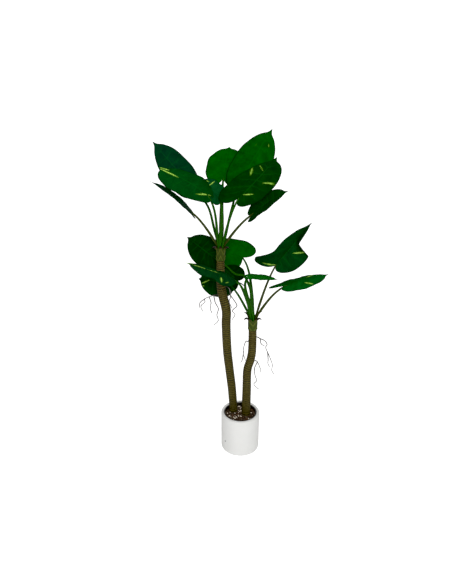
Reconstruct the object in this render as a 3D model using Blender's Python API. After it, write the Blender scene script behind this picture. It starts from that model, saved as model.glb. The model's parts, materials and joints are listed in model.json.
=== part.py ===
"""A potted pothos: a plain planter with two ringed canes, each with a crown of heart-shaped leaves.

Metres, +Z up. The origin is the centre of the planter's underside, and the front of the plant looks along -Y.
"""

import math
import random
from dataclasses import dataclass

import bmesh
import bpy
from mathutils import Matrix, Vector

# Planter
POT_RADIUS = 0.0850
POT_HEIGHT = 0.1800
POT_WALL = 0.0125
POT_FLOOR = 0.0120
POT_SHOULDER = 0.0075
POT_FOOT_ROUND = 0.0020
POT_SIDES = 64

# Nursery liner that stands in the planter
LINER_RADIUS = 0.0705
LINER_WALL = 0.0016
LINER_RIM_RADIUS = 0.0720
LINER_RIM_HEIGHT = 0.0060
LINER_TOP = 0.1725
LINER_SIDES = 40

# Soil
SOIL_TOP = 0.1610
SOIL_ROUGHNESS = 0.0014
SOIL_CHIPS = 22
SOIL_SIDES = 32
SOIL_RINGS = 5
SOIL_GAP = 0.0010

# Canes
CANE_RADIUS = 0.0165
CANE_RING_RELIEF = 0.0009
CANE_RING_PITCH = 0.0160
CANE_SIDES = 11
CANE_FOOT = 0.0600
TALL_CANE_DEPTH = 0.030
TALL_CANE_TOP = 0.905
TALL_CANE_LINE = (
    (0.060, -0.026),
    (0.160, -0.030),
    (0.270, -0.037),
    (0.370, -0.048),
    (0.470, -0.056),
    (0.590, -0.064),
    (0.660, -0.067),
    (0.750, -0.082),
    (0.845, -0.086),
    (0.905, -0.085),
)
SHORT_CANE_DEPTH = 0.005
SHORT_CANE_TOP = 0.590
SHORT_CANE_LINE = (
    (0.060, 0.022),
    (0.165, 0.025),
    (0.285, 0.027),
    (0.385, 0.028),
    (0.435, 0.040),
    (0.485, 0.047),
    (0.590, 0.047),
)

# Papery sheaths round the cane tops
SHEATH_GAP = 0.0006
SHEATH_WALL = 0.0014
SHEATH_SCALE_STEP = 0.0014
SHEATH_COLUMNS = 5
SHEATH_ROWS = 3
SCALE_ROWS = 5
SHEATH_BELOW = {"tall": 0.026, "short": 0.006}
# The scales round each sheath: bearing, height of the notch beside it, length and bend (degrees) of its tip
SCALES = {
    "tall": (
        (195, 0.019, 0.030, 160),
        (270, 0.026, 0.014, 40),
        (345, 0.019, 0.028, 160),
        (80, 0.030, 0.026, 60),
    ),
    "short": (
        (205, 0.038, 0.034, 150),
        (335, 0.038, 0.030, 150),
        (30, 0.044, 0.036, 105),
        (150, 0.042, 0.036, 105),
    ),
}

# Leaves
BLADE_THICKNESS = 0.0012
BLADE_COLUMNS = 10
BLADE_ROWS = 3
HALF_OUTLINE = (
    (0.000, 0.000),
    (-0.090, 0.070),
    (-0.175, 0.240),
    (-0.190, 0.500),
    (-0.110, 0.760),
    (0.040, 0.940),
    (0.200, 1.000),
    (0.380, 0.970),
    (0.560, 0.870),
    (0.715, 0.690),
    (0.840, 0.410),
    (0.915, 0.130),
    (1.000, 0.000),
)
VEIN_SWEEP = 0.55
STALK_FOOT_RADIUS = 0.0040
STALK_WIDE_RADIUS = 0.0046
STALK_TOP_RADIUS = 0.0029
MIDRIB_END_RADIUS = 0.0010
MIDRIB_REACH = 0.72
STALK_SIDES = 5
STALK_STEPS = 7
SEAT_RING = 0.0133
SEAT_GAP = 0.0003
STALK_RISE = {"tall": 0.0300, "short": 0.0480}
STALK_LEAN = 0.75
CLOSE_RATE = 7.0

# Aerial roots
ROOT_RADIUS = 0.0018
ROOT_SIDES = 4
ROOT_GAP = 0.0003


@dataclass(frozen=True)
class LeafPose:
    """Where one leaf sits: the top of its stalk, the way its tip points, and how its blade bends."""

    name: str
    crown: str
    seat: float
    joint: tuple
    heading: float
    rise: float
    roll: float
    length: float
    width: float
    arch: float = 25.0
    fold: float = 14.0
    curl: float = 0.10
    wave: float = 0.005
    phase: float = 0.0
    twist: float = 0.0
    close: tuple = (0.0, 0.0)
    close_from: tuple = (0.0, 0.0)
    skew: float = 0.0
    lobe: tuple = (1.0, 1.0)
    bow: float = 0.45
    via: tuple = ()
    tone: str = "bright"


LEAVES = (
    LeafPose("leaf_tall_back_left", "tall", 140, (-0.199, 0.060, 1.172), 163, 46, -62, 0.219, 0.118,
             fold=-20, skew=0.04, tone="deep", via=((-0.111, 0.037, 1.008), (-0.137, 0.045, 1.097))),
    LeafPose("leaf_tall_front_left", "tall", 225, (-0.149, -0.040, 1.160), 192, 31, -58, 0.184, 0.110,
             fold=-8, skew=-0.30),
    LeafPose("leaf_tall_front_small", "tall", 262, (-0.092, -0.055, 1.146), 172, 47, -46, 0.094, 0.078,
             tone="deep"),
    LeafPose("leaf_tall_top", "tall", 80, (-0.074, 0.085, 1.194), 78, 42, 0, 0.157, 0.150),
    LeafPose("leaf_tall_top_right", "tall", 15, (-0.008, 0.010, 1.193), 31, 53, 45, 0.228, 0.150, fold=-10),
    LeafPose("leaf_tall_front_right", "tall", 300, (-0.018, -0.080, 1.147), 352, 48, 98, 0.198, 0.130,
             fold=2, skew=0.24, lobe=(0.95, 1.05), tone="deep"),
    LeafPose("leaf_tall_low_right", "tall", 337, (0.038, -0.050, 1.087), 341, 35, 32, 0.155, 0.106),
    LeafPose("leaf_tall_low_left", "tall", 184, (-0.199, -0.010, 1.087), 188, 38, 10, 0.175, 0.120,
             fold=4, curl=0.03, wave=0.002, tone="deep"),
    LeafPose("leaf_short_back_left", "short", 192, (-0.109, 0.085, 0.868), 172, 37, -75, 0.145, 0.132,
             tone="deep", via=((0.036, 0.002, 0.750), (0.020, 0.024, 0.795), (0.006, 0.034, 0.812),
                               (-0.027, 0.048, 0.814), (-0.064, 0.068, 0.841))),
    LeafPose("leaf_short_behind", "short", 65, (0.004, 0.150, 0.850), 169, 13, -82, 0.184, 0.154,
             skew=-0.12, lobe=(0.3, 1.1)),
    LeafPose("leaf_short_front_left", "short", 232, (-0.025, -0.060, 0.823), 186, 23, -10, 0.211, 0.100,
             fold=-14, skew=-0.12, lobe=(0.2, 1.0), tone="deep"),
    LeafPose("leaf_short_low_left", "short", 155, (-0.057, 0.076, 0.762), 164, 3, -76, 0.130, 0.130,
             tone="deep"),
    LeafPose("leaf_short_back_small", "short", 110, (-0.018, 0.110, 0.761), 172, 31, -80, 0.090, 0.124,
             tone="deep"),
    LeafPose("leaf_short_level", "short", 277, (0.028, -0.035, 0.831), 351, -3, -36, 0.112, 0.064,
             arch=8, fold=4, curl=0.03, wave=0.001),
    LeafPose("leaf_short_right", "short", 20, (0.138, 0.045, 0.852), 347, 54, 82, 0.230, 0.184,
             fold=4, close=(66, 54), close_from=(-0.06, 0.53), twist=-30, skew=0.20, lobe=(0.42, 0.8)),
    LeafPose("leaf_short_low_right", "short", 325, (0.172, -0.060, 0.806), 354, 18, 14, 0.165, 0.088,
             arch=3, fold=-5, skew=0.10, lobe=(2.1, 2.1)),
)

# Clusters of aerial roots: the cane, the height and bearing of the foot, then the main root and its branches
ROOTS = {
    "aerial_roots_tall_left": (
        "tall", 0.7344, 212,
        (
            ((-0.114, 0.010, 0.734), (-0.132, 0.002, 0.731), (-0.150, 0.000, 0.723), (-0.150, 0.000, 0.709),
             (-0.166, 0.000, 0.691), (-0.158, 0.000, 0.665)),
            ((-0.132, 0.002, 0.731), (-0.125, -0.004, 0.709), (-0.128, -0.004, 0.683),
             (-0.121, -0.004, 0.660)),
            ((-0.114, 0.010, 0.734), (-0.108, -0.006, 0.710), (-0.095, -0.010, 0.684),
             (-0.101, -0.010, 0.656), (-0.096, -0.010, 0.630), (-0.114, -0.010, 0.610)),
            ((-0.150, 0.000, 0.723), (-0.170, 0.004, 0.704), (-0.172, 0.004, 0.680)),
        ),
    ),
    "aerial_roots_tall_right": (
        "tall", 0.767, 344,
        (
            ((-0.049, 0.004, 0.762), (-0.046, 0.000, 0.731), (-0.051, 0.000, 0.710), (-0.039, 0.000, 0.678)),
            ((-0.047, 0.000, 0.740), (-0.023, -0.004, 0.705), (-0.021, -0.004, 0.691),
             (-0.038, -0.004, 0.672), (-0.027, -0.004, 0.655), (-0.039, -0.004, 0.630)),
        ),
    ),
    "aerial_roots_short_left": (
        "short", 0.534, 212,
        (
            ((0.018, -0.004, 0.530), (0.010, -0.006, 0.500), (0.010, -0.006, 0.470), (0.021, -0.006, 0.436)),
            ((0.010, -0.006, 0.485), (0.006, -0.010, 0.450), (-0.002, -0.010, 0.430)),
        ),
    ),
    "aerial_roots_short_right": (
        "short", 0.550, 344,
        (
            ((0.079, -0.002, 0.543), (0.098, -0.004, 0.535), (0.109, -0.004, 0.517), (0.104, -0.004, 0.500),
             (0.121, -0.004, 0.459), (0.134, -0.004, 0.420), (0.133, -0.004, 0.392), (0.144, -0.004, 0.370)),
            ((0.079, -0.002, 0.543), (0.083, -0.008, 0.522), (0.099, -0.010, 0.512)),
            ((0.111, -0.004, 0.482), (0.116, 0.002, 0.444), (0.116, 0.002, 0.420), (0.126, 0.002, 0.404)),
        ),
    ),
    "aerial_roots_short_low": (
        "short", 0.437, 344,
        (
            ((0.070, -0.006, 0.434), (0.082, -0.008, 0.405), (0.083, -0.008, 0.380)),
            ((0.070, -0.006, 0.434), (0.058, -0.012, 0.405), (0.061, -0.012, 0.370), (0.069, -0.012, 0.345),
             (0.057, -0.012, 0.325), (0.081, -0.012, 0.299)),
        ),
    ),
}


def clear_scene():
    """Remove whatever the start-up file put in the scene."""
    for thing in list(bpy.data.objects):
        bpy.data.objects.remove(thing, do_unlink=True)


def make_material(name, colour, roughness):
    """One plain surface: a colour (linear) and a roughness."""
    material = bpy.data.materials.new(name)
    material.use_nodes = True
    shader = material.node_tree.nodes["Principled BSDF"]
    shader.inputs["Base Color"].default_value = (*colour, 1.0)
    shader.inputs["Roughness"].default_value = roughness
    material.diffuse_color = (*colour, 1.0)
    return material


def make_object(name, points, faces, material=None, smooth=True):
    """A mesh object from points and faces, with its normals turned outwards."""
    mesh = bpy.data.meshes.new(name)
    mesh.from_pydata([tuple(p) for p in points], [], faces)
    work = bmesh.new()
    work.from_mesh(mesh)
    bmesh.ops.recalc_face_normals(work, faces=work.faces)
    work.to_mesh(mesh)
    work.free()
    for face in mesh.polygons:
        face.use_smooth = smooth
    made = bpy.data.objects.new(name, mesh)
    bpy.context.scene.collection.objects.link(made)
    if material is not None:
        mesh.materials.append(material)
    return made


def combine(target, helpers, operation, solver="EXACT"):
    """Join helpers to the target, or cut them from it, and remove them afterwards."""
    group = bpy.data.collections.new(target.name + "_helpers")
    bpy.context.scene.collection.children.link(group)
    for helper in helpers:
        bpy.context.scene.collection.objects.unlink(helper)
        group.objects.link(helper)
    modifier = target.modifiers.new("combine", "BOOLEAN")
    modifier.operation = operation
    modifier.solver = solver
    modifier.operand_type = "COLLECTION"
    modifier.collection = group
    bpy.context.view_layer.update()
    graph = bpy.context.evaluated_depsgraph_get()
    mesh = bpy.data.meshes.new_from_object(target.evaluated_get(graph))
    target.modifiers.clear()
    target.data = mesh
    for helper in helpers:
        bpy.data.objects.remove(helper, do_unlink=True)
    bpy.data.collections.remove(group)


def catmull_rom(knots, t):
    """A smooth curve through the knots, at t from 0 to 1."""
    spans = len(knots) - 1
    place = min(max(t, 0.0), 1.0) * spans
    index = min(int(place), spans - 1)
    f = place - index
    b = Vector(knots[index])
    c = Vector(knots[index + 1])
    a = Vector(knots[index - 1]) if index > 0 else b * 2 - c
    d = Vector(knots[index + 2]) if index + 2 <= spans else c * 2 - b
    return 0.5 * (b * 2 + (c - a) * f + (a * 2 - b * 5 + c * 4 - d) * f * f + (b * 3 - a - c * 3 + d) * f**3)


def lathe(profile, sides):
    """A closed solid turned about Z from a profile of (radius, height) that starts and ends on the axis."""
    points = [Vector((0.0, 0.0, profile[0][1]))]
    for radius, height in profile[1:-1]:
        for i in range(sides):
            angle = 2 * math.pi * i / sides
            points.append(Vector((radius * math.cos(angle), radius * math.sin(angle), height)))
    points.append(Vector((0.0, 0.0, profile[-1][1])))
    rings = len(profile) - 2
    faces = []
    for i in range(sides):
        j = (i + 1) % sides
        faces.append((0, 1 + j, 1 + i))
        for r in range(rings - 1):
            low = 1 + r * sides
            high = low + sides
            faces.append((low + i, low + j, high + j, high + i))
        last = 1 + (rings - 1) * sides
        faces.append((last + i, last + j, len(points) - 1))
    return points, faces


def tube_frames(line):
    """Two directions across the line at each of its points, which turn as little as possible along it."""
    ahead = []
    for i in range(len(line)):
        ahead.append((line[min(i + 1, len(line) - 1)] - line[max(i - 1, 0)]).normalized())
    side = ahead[0].cross(Vector((0.0, 1.0, 0.0)))
    if side.length < 0.2:
        side = ahead[0].cross(Vector((1.0, 0.0, 0.0)))
    side.normalize()
    frames = []
    for direction in ahead:
        side = (side - direction * side.dot(direction)).normalized()
        frames.append((side, direction.cross(side)))
    return frames


def tube(line, radii, sides):
    """A closed tube along a line of points, flat at both ends."""
    points = []
    faces = []
    for centre, radius, (side, up) in zip(line, radii, tube_frames(line)):
        for i in range(sides):
            angle = 2 * math.pi * i / sides
            points.append(centre + side * (radius * math.cos(angle)) + up * (radius * math.sin(angle)))
    for r in range(len(line) - 1):
        for i in range(sides):
            j = (i + 1) % sides
            faces.append((r * sides + i, r * sides + j, (r + 1) * sides + j, (r + 1) * sides + i))
    faces.append(tuple(range(sides)))
    faces.append(tuple(reversed(range((len(line) - 1) * sides, len(line) * sides))))
    return points, faces


def quarter(centre_r, centre_z, radius, start, steps):
    """Points on a quarter circle, for a rounded edge."""
    made = []
    for i in range(steps + 1):
        angle = math.radians(start + 90.0 * i / steps)
        made.append((centre_r + radius * math.cos(angle), centre_z + radius * math.sin(angle)))
    return made


def pot(material):
    """The planter: straight sides, a rounded shoulder, a thick wall and a flat closed underside."""
    inner = POT_RADIUS - POT_WALL
    lip = POT_WALL - POT_SHOULDER
    profile = [(0.0, 0.0), (POT_RADIUS - POT_FOOT_ROUND, 0.0)]
    profile.append((POT_RADIUS, POT_FOOT_ROUND))
    profile += quarter(POT_RADIUS - POT_SHOULDER, POT_HEIGHT - POT_SHOULDER, POT_SHOULDER, 0, 4)
    profile += quarter(inner + lip, POT_HEIGHT - lip, lip, 90, 2)[1:]
    profile += [(inner, POT_FLOOR + 0.004), (inner - 0.004, POT_FLOOR), (0.0, POT_FLOOR)]
    points, faces = lathe(profile, POT_SIDES)
    make_object("pot", points, faces, material)


def liner(material):
    """The black nursery pot inside the planter, with a thickened rim just below the planter's edge."""
    foot = POT_FLOOR + 0.0003
    wall_in = LINER_RADIUS - LINER_WALL
    profile = [(0.0, foot), (LINER_RADIUS - 0.003, foot), (LINER_RADIUS, foot + 0.003)]
    profile.append((LINER_RADIUS, LINER_TOP - LINER_RIM_HEIGHT))
    profile.append((LINER_RIM_RADIUS, LINER_TOP - LINER_RIM_HEIGHT))
    profile.append((LINER_RIM_RADIUS, LINER_TOP - 0.001))
    profile.append((LINER_RIM_RADIUS - 0.001, LINER_TOP))
    profile.append((wall_in + 0.0008, LINER_TOP))
    profile.append((wall_in, LINER_TOP - 0.0008))
    profile += [(wall_in, foot + 0.004), (wall_in - 0.002, foot + 0.002), (0.0, foot + 0.002)]
    points, faces = lathe(profile, LINER_SIDES)
    make_object("nursery_liner", points, faces, material)


def soil_height(radius, angle):
    """The uneven top of the soil: low at the liner's wall, higher round the canes."""
    bumps = math.sin(5 * angle + 90 * radius) * math.cos(3 * angle - 210 * radius)
    mound = 0.0035 * (1 - (radius / LINER_RADIUS) ** 2)
    return SOIL_TOP + mound + SOIL_ROUGHNESS * bumps * min(1.0, radius / 0.02)


def cane_line(name, steps):
    """The centreline of a cane, from its foot in the soil to its top."""
    knots = TALL_CANE_LINE if name == "tall" else SHORT_CANE_LINE
    depth = TALL_CANE_DEPTH if name == "tall" else SHORT_CANE_DEPTH
    made = []
    for i in range(steps + 1):
        height, across = catmull_rom(knots, i / steps)
        made.append(Vector((across, depth, height)))
    return made


def cane_centre(name, height):
    """The centre of a cane at a height."""
    line = cane_line(name, 60)
    for a, b in zip(line, line[1:]):
        if b.z >= height:
            return a.lerp(b, (height - a.z) / (b.z - a.z))
    return line[-1]


def soil(material):
    """Potting soil with an uneven top, woody chips sunk into it, and a plain hole for each cane."""
    edge = LINER_RADIUS - LINER_WALL - 0.0003
    foot = POT_FLOOR + 0.0003 + 0.002 + 0.0003
    points = [Vector((0.0, 0.0, soil_height(0.0, 0.0)))]
    faces = []
    for r in range(1, SOIL_RINGS + 1):
        for i in range(SOIL_SIDES):
            radius = edge * r / SOIL_RINGS
            angle = 2 * math.pi * i / SOIL_SIDES
            height = soil_height(radius, angle)
            points.append(Vector((radius * math.cos(angle), radius * math.sin(angle), height)))
    for radius, height in ((edge, foot + 0.004), (edge - 0.002, foot)):
        for i in range(SOIL_SIDES):
            angle = 2 * math.pi * i / SOIL_SIDES
            points.append(Vector((radius * math.cos(angle), radius * math.sin(angle), height)))
    points.append(Vector((0.0, 0.0, foot)))
    for i in range(SOIL_SIDES):
        j = (i + 1) % SOIL_SIDES
        faces.append((0, 1 + i, 1 + j))
        for r in range(SOIL_RINGS + 1):
            low = 1 + r * SOIL_SIDES
            faces.append((low + i, low + SOIL_SIDES + i, low + SOIL_SIDES + j, low + j))
        last = 1 + (SOIL_RINGS + 1) * SOIL_SIDES
        faces.append((last + j, last + i, len(points) - 1))
    body = make_object("soil", points, faces, material)
    combine(body, soil_chips(edge), "UNION")
    cutters = []
    for name in ("tall", "short"):
        wide = CANE_RADIUS + CANE_RING_RELIEF + SOIL_GAP
        line = [cane_centre(name, CANE_FOOT + (SOIL_TOP + 0.02 - CANE_FOOT) * k / 2) for k in range(3)]
        line[0].z -= 0.0010
        cutters.append(make_object("hole_" + name, *tube(line, [wide] * len(line), 16)))
    combine(body, cutters, "DIFFERENCE")
    for face in body.data.polygons:
        face.use_smooth = True


def soil_chips(edge):
    """Small angular chips of bark and grit, half sunk in the soil and clear of the canes."""
    random.seed(11)
    feet = [cane_centre(name, SOIL_TOP) for name in ("tall", "short")]
    made = []
    while len(made) < SOIL_CHIPS:
        radius = (edge - 0.006) * math.sqrt(random.random())
        angle = random.uniform(0, 2 * math.pi)
        x = radius * math.cos(angle)
        y = radius * math.sin(angle)
        if any(math.hypot(x - foot.x, y - foot.y) < CANE_RADIUS + 0.007 for foot in feet):
            continue
        if any(math.hypot(x - c.location.x, y - c.location.y) < 0.009 for c in made):
            continue
        size = random.uniform(0.0030, 0.0050)
        chip = make_object("chip_%d" % len(made), *chip_mesh(size))
        chip.rotation_euler = (random.uniform(-0.4, 0.4), random.uniform(-0.4, 0.4), random.uniform(0, 6.28))
        chip.location = (x, y, soil_height(radius, angle) + size * 0.05)
        made.append(chip)
    return made


def chip_mesh(size):
    """One chip: a squat eight-cornered lump, each corner moved a little."""
    points = []
    for z in (-0.5, 0.5):
        for i in range(4):
            angle = math.pi / 2 * i + random.uniform(-0.3, 0.3)
            reach = size * random.uniform(0.7, 1.1) * (1.0 if z < 0 else 0.75)
            points.append(Vector((reach * math.cos(angle) * 1.3, reach * math.sin(angle), size * z)))
    faces = [(3, 2, 1, 0), (4, 5, 6, 7)]
    for i in range(4):
        j = (i + 1) % 4
        faces.append((i, j, j + 4, i + 4))
    return points, faces


def cane(name, material):
    """A cane with a raised ring at each old leaf scar."""
    top = TALL_CANE_TOP if name == "tall" else SHORT_CANE_TOP
    rings = int((top - CANE_FOOT) / CANE_RING_PITCH)
    line = [cane_centre(name, CANE_FOOT + (top - CANE_FOOT) * i / (rings * 2)) for i in range(rings * 2 + 1)]
    radii = []
    for i in range(len(line)):
        relief = CANE_RING_RELIEF if i % 2 else 0.0
        radii.append(CANE_RADIUS + relief - (0.0012 if i == len(line) - 1 else 0.0))
    points, faces = tube(line, radii, CANE_SIDES)
    for point in points[-CANE_SIDES:]:
        point.z = top
    make_object("cane_" + name, points, faces, material)


def scale_columns(name):
    """The sheath's columns: a bearing, the height of the rim there, and the tip's length and bend."""
    scales = SCALES[name]
    made = []
    for index, (bearing, notch, length, bend) in enumerate(scales):
        after = scales[(index + 1) % len(scales)]
        span = (after[0] - bearing) % 360
        for k in range(SHEATH_COLUMNS):
            f = k / SHEATH_COLUMNS
            near = (bearing, notch, length, bend) if f < 0.5 else after
            share = abs(f - 0.5) * 2
            rim = notch + (after[1] - notch) * f
            made.append((math.radians(bearing + span * f), rim, near[2] * share**2.2, near[2], near[3]))
    return made


def sheath(name, material):
    """The papery sheath round a cane's top: a sleeve with V-shaped steps, whose scale tips bend outwards."""
    top = TALL_CANE_TOP if name == "tall" else SHORT_CANE_TOP
    below = SHEATH_BELOW[name]
    inner = CANE_RADIUS + CANE_RING_RELIEF + SHEATH_GAP
    columns = scale_columns(name)
    rows = SHEATH_ROWS + SCALE_ROWS
    outer = []
    lining = []
    for r in range(rows + 1):
        for angle, rim, tip, full, bend in columns:
            way = Vector((math.cos(angle), math.sin(angle), 0.0))
            if r <= SHEATH_ROWS:
                height = top - below + (below + rim) * r / SHEATH_ROWS
                lean = 0.0
                out = 0.0
            else:
                path = tip * (r - SHEATH_ROWS) / SCALE_ROWS
                curve = math.radians(bend) / full
                lean = path * curve
                height = top + rim + math.sin(lean) / curve
                out = (1 - math.cos(lean)) / curve
            centre = cane_centre(name, min(height, top - 0.001))
            step = SHEATH_SCALE_STEP * ((r * 0.5 + tip / full * 0.5) % 1.0 if 0 < r < SHEATH_ROWS else 0.0)
            spot = Vector((centre.x, centre.y, height)) + way * (inner + out)
            face = way * math.cos(lean) - Vector((0.0, 0.0, math.sin(lean)))
            thick = SHEATH_WALL + step
            if r > SHEATH_ROWS:
                thick = SHEATH_WALL - 0.0004 * (r - SHEATH_ROWS) / SCALE_ROWS
            outer.append(spot + face * thick)
            lining.append(spot)
    sides = len(columns)
    faces = []
    back = len(outer)
    for r in range(rows):
        for i in range(sides):
            j = (i + 1) % sides
            low = r * sides
            high = low + sides
            faces.append((low + i, low + j, high + j, high + i))
            faces.append((back + low + j, back + low + i, back + high + i, back + high + j))
    last = rows * sides
    for i in range(sides):
        j = (i + 1) % sides
        faces.append((i, back + i, back + j, j))
        faces.append((last + j, back + last + j, back + last + i, last + i))
    make_object("sheath_" + name, outer + lining, faces, material)


def leaf_frame(leaf):
    """The leaf's own axes: along its midrib, across it to the left, and out of its upper face."""
    heading = math.radians(leaf.heading)
    rise = math.radians(leaf.rise)
    along = Vector((math.cos(heading) * math.cos(rise), math.sin(heading) * math.cos(rise), math.sin(rise)))
    across = Vector((-math.sin(heading), math.cos(heading), 0.0))
    turn = Matrix.Rotation(math.radians(leaf.roll), 3, along)
    across = turn @ across
    return along, across, along.cross(across)


def blade_point(leaf, along, across):
    """A point of the blade's middle surface: a share of its length along it, and metres across when flat."""
    bend = math.radians(leaf.arch)
    slope = bend * (0.5 - along)
    x = leaf.length / bend * (math.sin(bend / 2) - math.sin(slope))
    z = leaf.length / bend * (math.cos(slope) - math.cos(bend / 2))
    half = leaf.width / 2
    share = abs(across) / half
    side = 1.0 if across >= 0 else -1.0
    which = 0 if side > 0 else 1
    shut = min(max((along - leaf.close_from[which]) * CLOSE_RATE, 0.0), 1.0)
    fold = math.radians(leaf.fold + leaf.close[which] * shut)
    out = abs(across) * math.cos(fold)
    lift = abs(across) * math.sin(fold) - leaf.curl * half * share**2
    lift += leaf.wave * share**2 * math.sin(2 * math.pi * (2.2 * along + leaf.phase + 0.2 * side))
    twist = math.radians(leaf.twist) * along
    y = side * out * math.cos(twist) - lift * math.sin(twist)
    lift = side * out * math.sin(twist) + lift * math.cos(twist)
    x += lift * math.sin(slope) * -1.0
    z += lift * math.cos(slope)
    axis, left, up = leaf_frame(leaf)
    return Vector(leaf.joint) + axis * x + left * y + up * z


def blade_grid(leaf, columns, rows):
    """The middle surface: points down the midrib, and rows of them out to each edge along the side veins."""
    half = leaf.width / 2
    grid = {}
    for side in (-1, 1):
        for i in range(columns + 1):
            t = i / columns
            edge_x, edge_y = catmull_rom(HALF_OUTLINE, t)
            edge_x = max(edge_x, 0.0) + min(edge_x, 0.0) * leaf.lobe[0 if side > 0 else 1]
            edge_x -= side * leaf.skew * edge_y
            start = t ** (1.0 + VEIN_SWEEP)
            for j in range(rows + 1):
                w = j / rows
                x = start + (edge_x - start) * w
                y = side * half * edge_y * w
                grid[side, i, j] = blade_point(leaf, x, y)
    return grid


def blade(leaf, columns, rows):
    """The blade as a thin closed solid, its two faces split into the same triangles."""
    grid = blade_grid(leaf, columns, rows)
    points = []
    number = {}
    for (side, i, j), place in grid.items():
        ends = i in (0, columns)
        key = ("m", i) if ends or j == 0 else (side, i, j)
        if key not in number:
            number[key] = len(points)
            points.append(place)
        number[side, i, j] = number[key]
    triangles = []
    for side in (-1, 1):
        for i in range(columns):
            for j in range(rows):
                a = number[side, i, j]
                b = number[side, i + 1, j]
                c = number[side, i + 1, j + 1]
                d = number[side, i, j + 1]
                for corners in ((a, b, c), (a, c, d)):
                    if len(set(corners)) == 3:
                        triangles.append(corners if side < 0 else corners[::-1])
    normals = [Vector() for _ in points]
    for a, b, c in triangles:
        normal = (points[b] - points[a]).cross(points[c] - points[a])
        for corner in (a, b, c):
            normals[corner] += normal
    up = leaf_frame(leaf)[2]
    half = BLADE_THICKNESS / 2
    count = len(points)
    shift = []
    for normal in normals:
        normal.normalize()
        shift.append(normal * (half if normal.dot(up) > 0 else -half))
    solid = [p + s for p, s in zip(points, shift)] + [p - s for p, s in zip(points, shift)]
    faces = list(triangles)
    faces += [(c + count, b + count, a + count) for a, b, c in triangles]
    rim = {}
    for a, b, c in triangles:
        for edge in ((a, b), (b, c), (c, a)):
            if (edge[1], edge[0]) in rim:
                del rim[edge[1], edge[0]]
            else:
                rim[edge] = True
    for a, b in rim:
        faces.append((b, a, a + count))
        faces.append((b, a + count, b + count))
    return solid, faces


def stalk_line(leaf, steps):
    """The stalk's centreline, from its seat in the sheath to the blade, and on under it as the midrib."""
    top = TALL_CANE_TOP if leaf.crown == "tall" else SHORT_CANE_TOP
    centre = cane_centre(leaf.crown, top)
    seat = math.radians(leaf.seat)
    foot = Vector((centre.x, centre.y, top + SEAT_GAP))
    foot += Vector((math.cos(seat), math.sin(seat), 0.0)) * SEAT_RING
    axis, left, up = leaf_frame(leaf)
    under = up * (STALK_TOP_RADIUS - 0.0004)
    joint = blade_point(leaf, 0.0, 0.0) - under
    clear = foot + Vector((0.0, 0.0, STALK_RISE[leaf.crown]))
    reach = (joint - clear).length
    lean = Vector((joint.x - clear.x, joint.y - clear.y, 0.0)) * (STALK_LEAN / (joint.z - clear.z))
    leave = (Vector((0.0, 0.0, 1.0)) + lean).normalized() * reach * 0.9
    arrive = (joint - clear).normalized() * leaf.bow + (axis - up * 0.35) * (1 - leaf.bow)
    arrive = arrive.normalized() * reach * 0.8
    line = [foot]
    radii = [STALK_FOOT_RADIUS]
    knots = [clear] + [Vector(p) for p in leaf.via] + [joint]
    count = steps + 2 * len(leaf.via)
    for i in range(count + 1):
        f = i / count
        a = 2 * f**3 - 3 * f**2 + 1
        b = f**3 - 2 * f**2 + f
        c = 3 * f**2 - 2 * f**3
        d = f**3 - f**2
        free = clear * a + leave * b + joint * c + arrive * d
        line.append(catmull_rom(knots, f) if leaf.via else free)
        wide = STALK_FOOT_RADIUS + (STALK_WIDE_RADIUS - STALK_FOOT_RADIUS) * min(1.0, f * 4.0)
        radii.append(wide + (STALK_TOP_RADIUS - STALK_WIDE_RADIUS) * max(0.0, (f - 0.25) / 0.75))
    for i in range(1, 5):
        s = MIDRIB_REACH * i / 4
        radius = STALK_TOP_RADIUS + (MIDRIB_END_RADIUS - STALK_TOP_RADIUS) * i / 4
        line.append(blade_point(leaf, s, 0.0) - up * (radius - 0.0003))
        radii.append(radius)
    return line, radii


def leaf_node(leaf, material):
    """One leaf: stalk, midrib and heart-shaped blade in one body."""
    body = make_object(leaf.name, *blade(leaf, BLADE_COLUMNS, BLADE_ROWS), material)
    line, radii = stalk_line(leaf, STALK_STEPS)
    stalk = make_object(leaf.name + "_stalk", *tube(line, radii, STALK_SIDES))
    combine(body, [stalk], "UNION", "MANIFOLD")
    for face in body.data.polygons:
        face.use_smooth = True


def aerial_root(name, material):
    """A loose cluster of thin roots that hangs from a cane, its branches sunk into the main one."""
    crown, height, bearing, branches = ROOTS[name]
    centre = cane_centre(crown, height)
    way = Vector((math.cos(math.radians(bearing)), math.sin(math.radians(bearing)), 0.0))
    reach = CANE_RADIUS + CANE_RING_RELIEF + ROOT_GAP
    foot = (tuple(centre + way * reach), tuple(centre + way * (reach + 0.007) - Vector((0.0, 0.0, 0.001))))
    made = []
    for index, knots in enumerate(branches):
        knots = foot + knots if index == 0 else knots
        steps = 2 * (len(knots) - 1)
        line = [catmull_rom(knots, i / steps) for i in range(steps + 1)]
        radii = [ROOT_RADIUS * (1.0 - 0.35 * i / steps) for i in range(steps + 1)]
        made.append(make_object("%s_%d" % (name, index), *tube(line, radii, ROOT_SIDES)))
    body = made[0]
    combine(body, made[1:], "UNION", "MANIFOLD")
    body.name = name
    body.data.materials.clear()
    body.data.materials.append(material)
    for face in body.data.polygons:
        face.use_smooth = True


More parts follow.
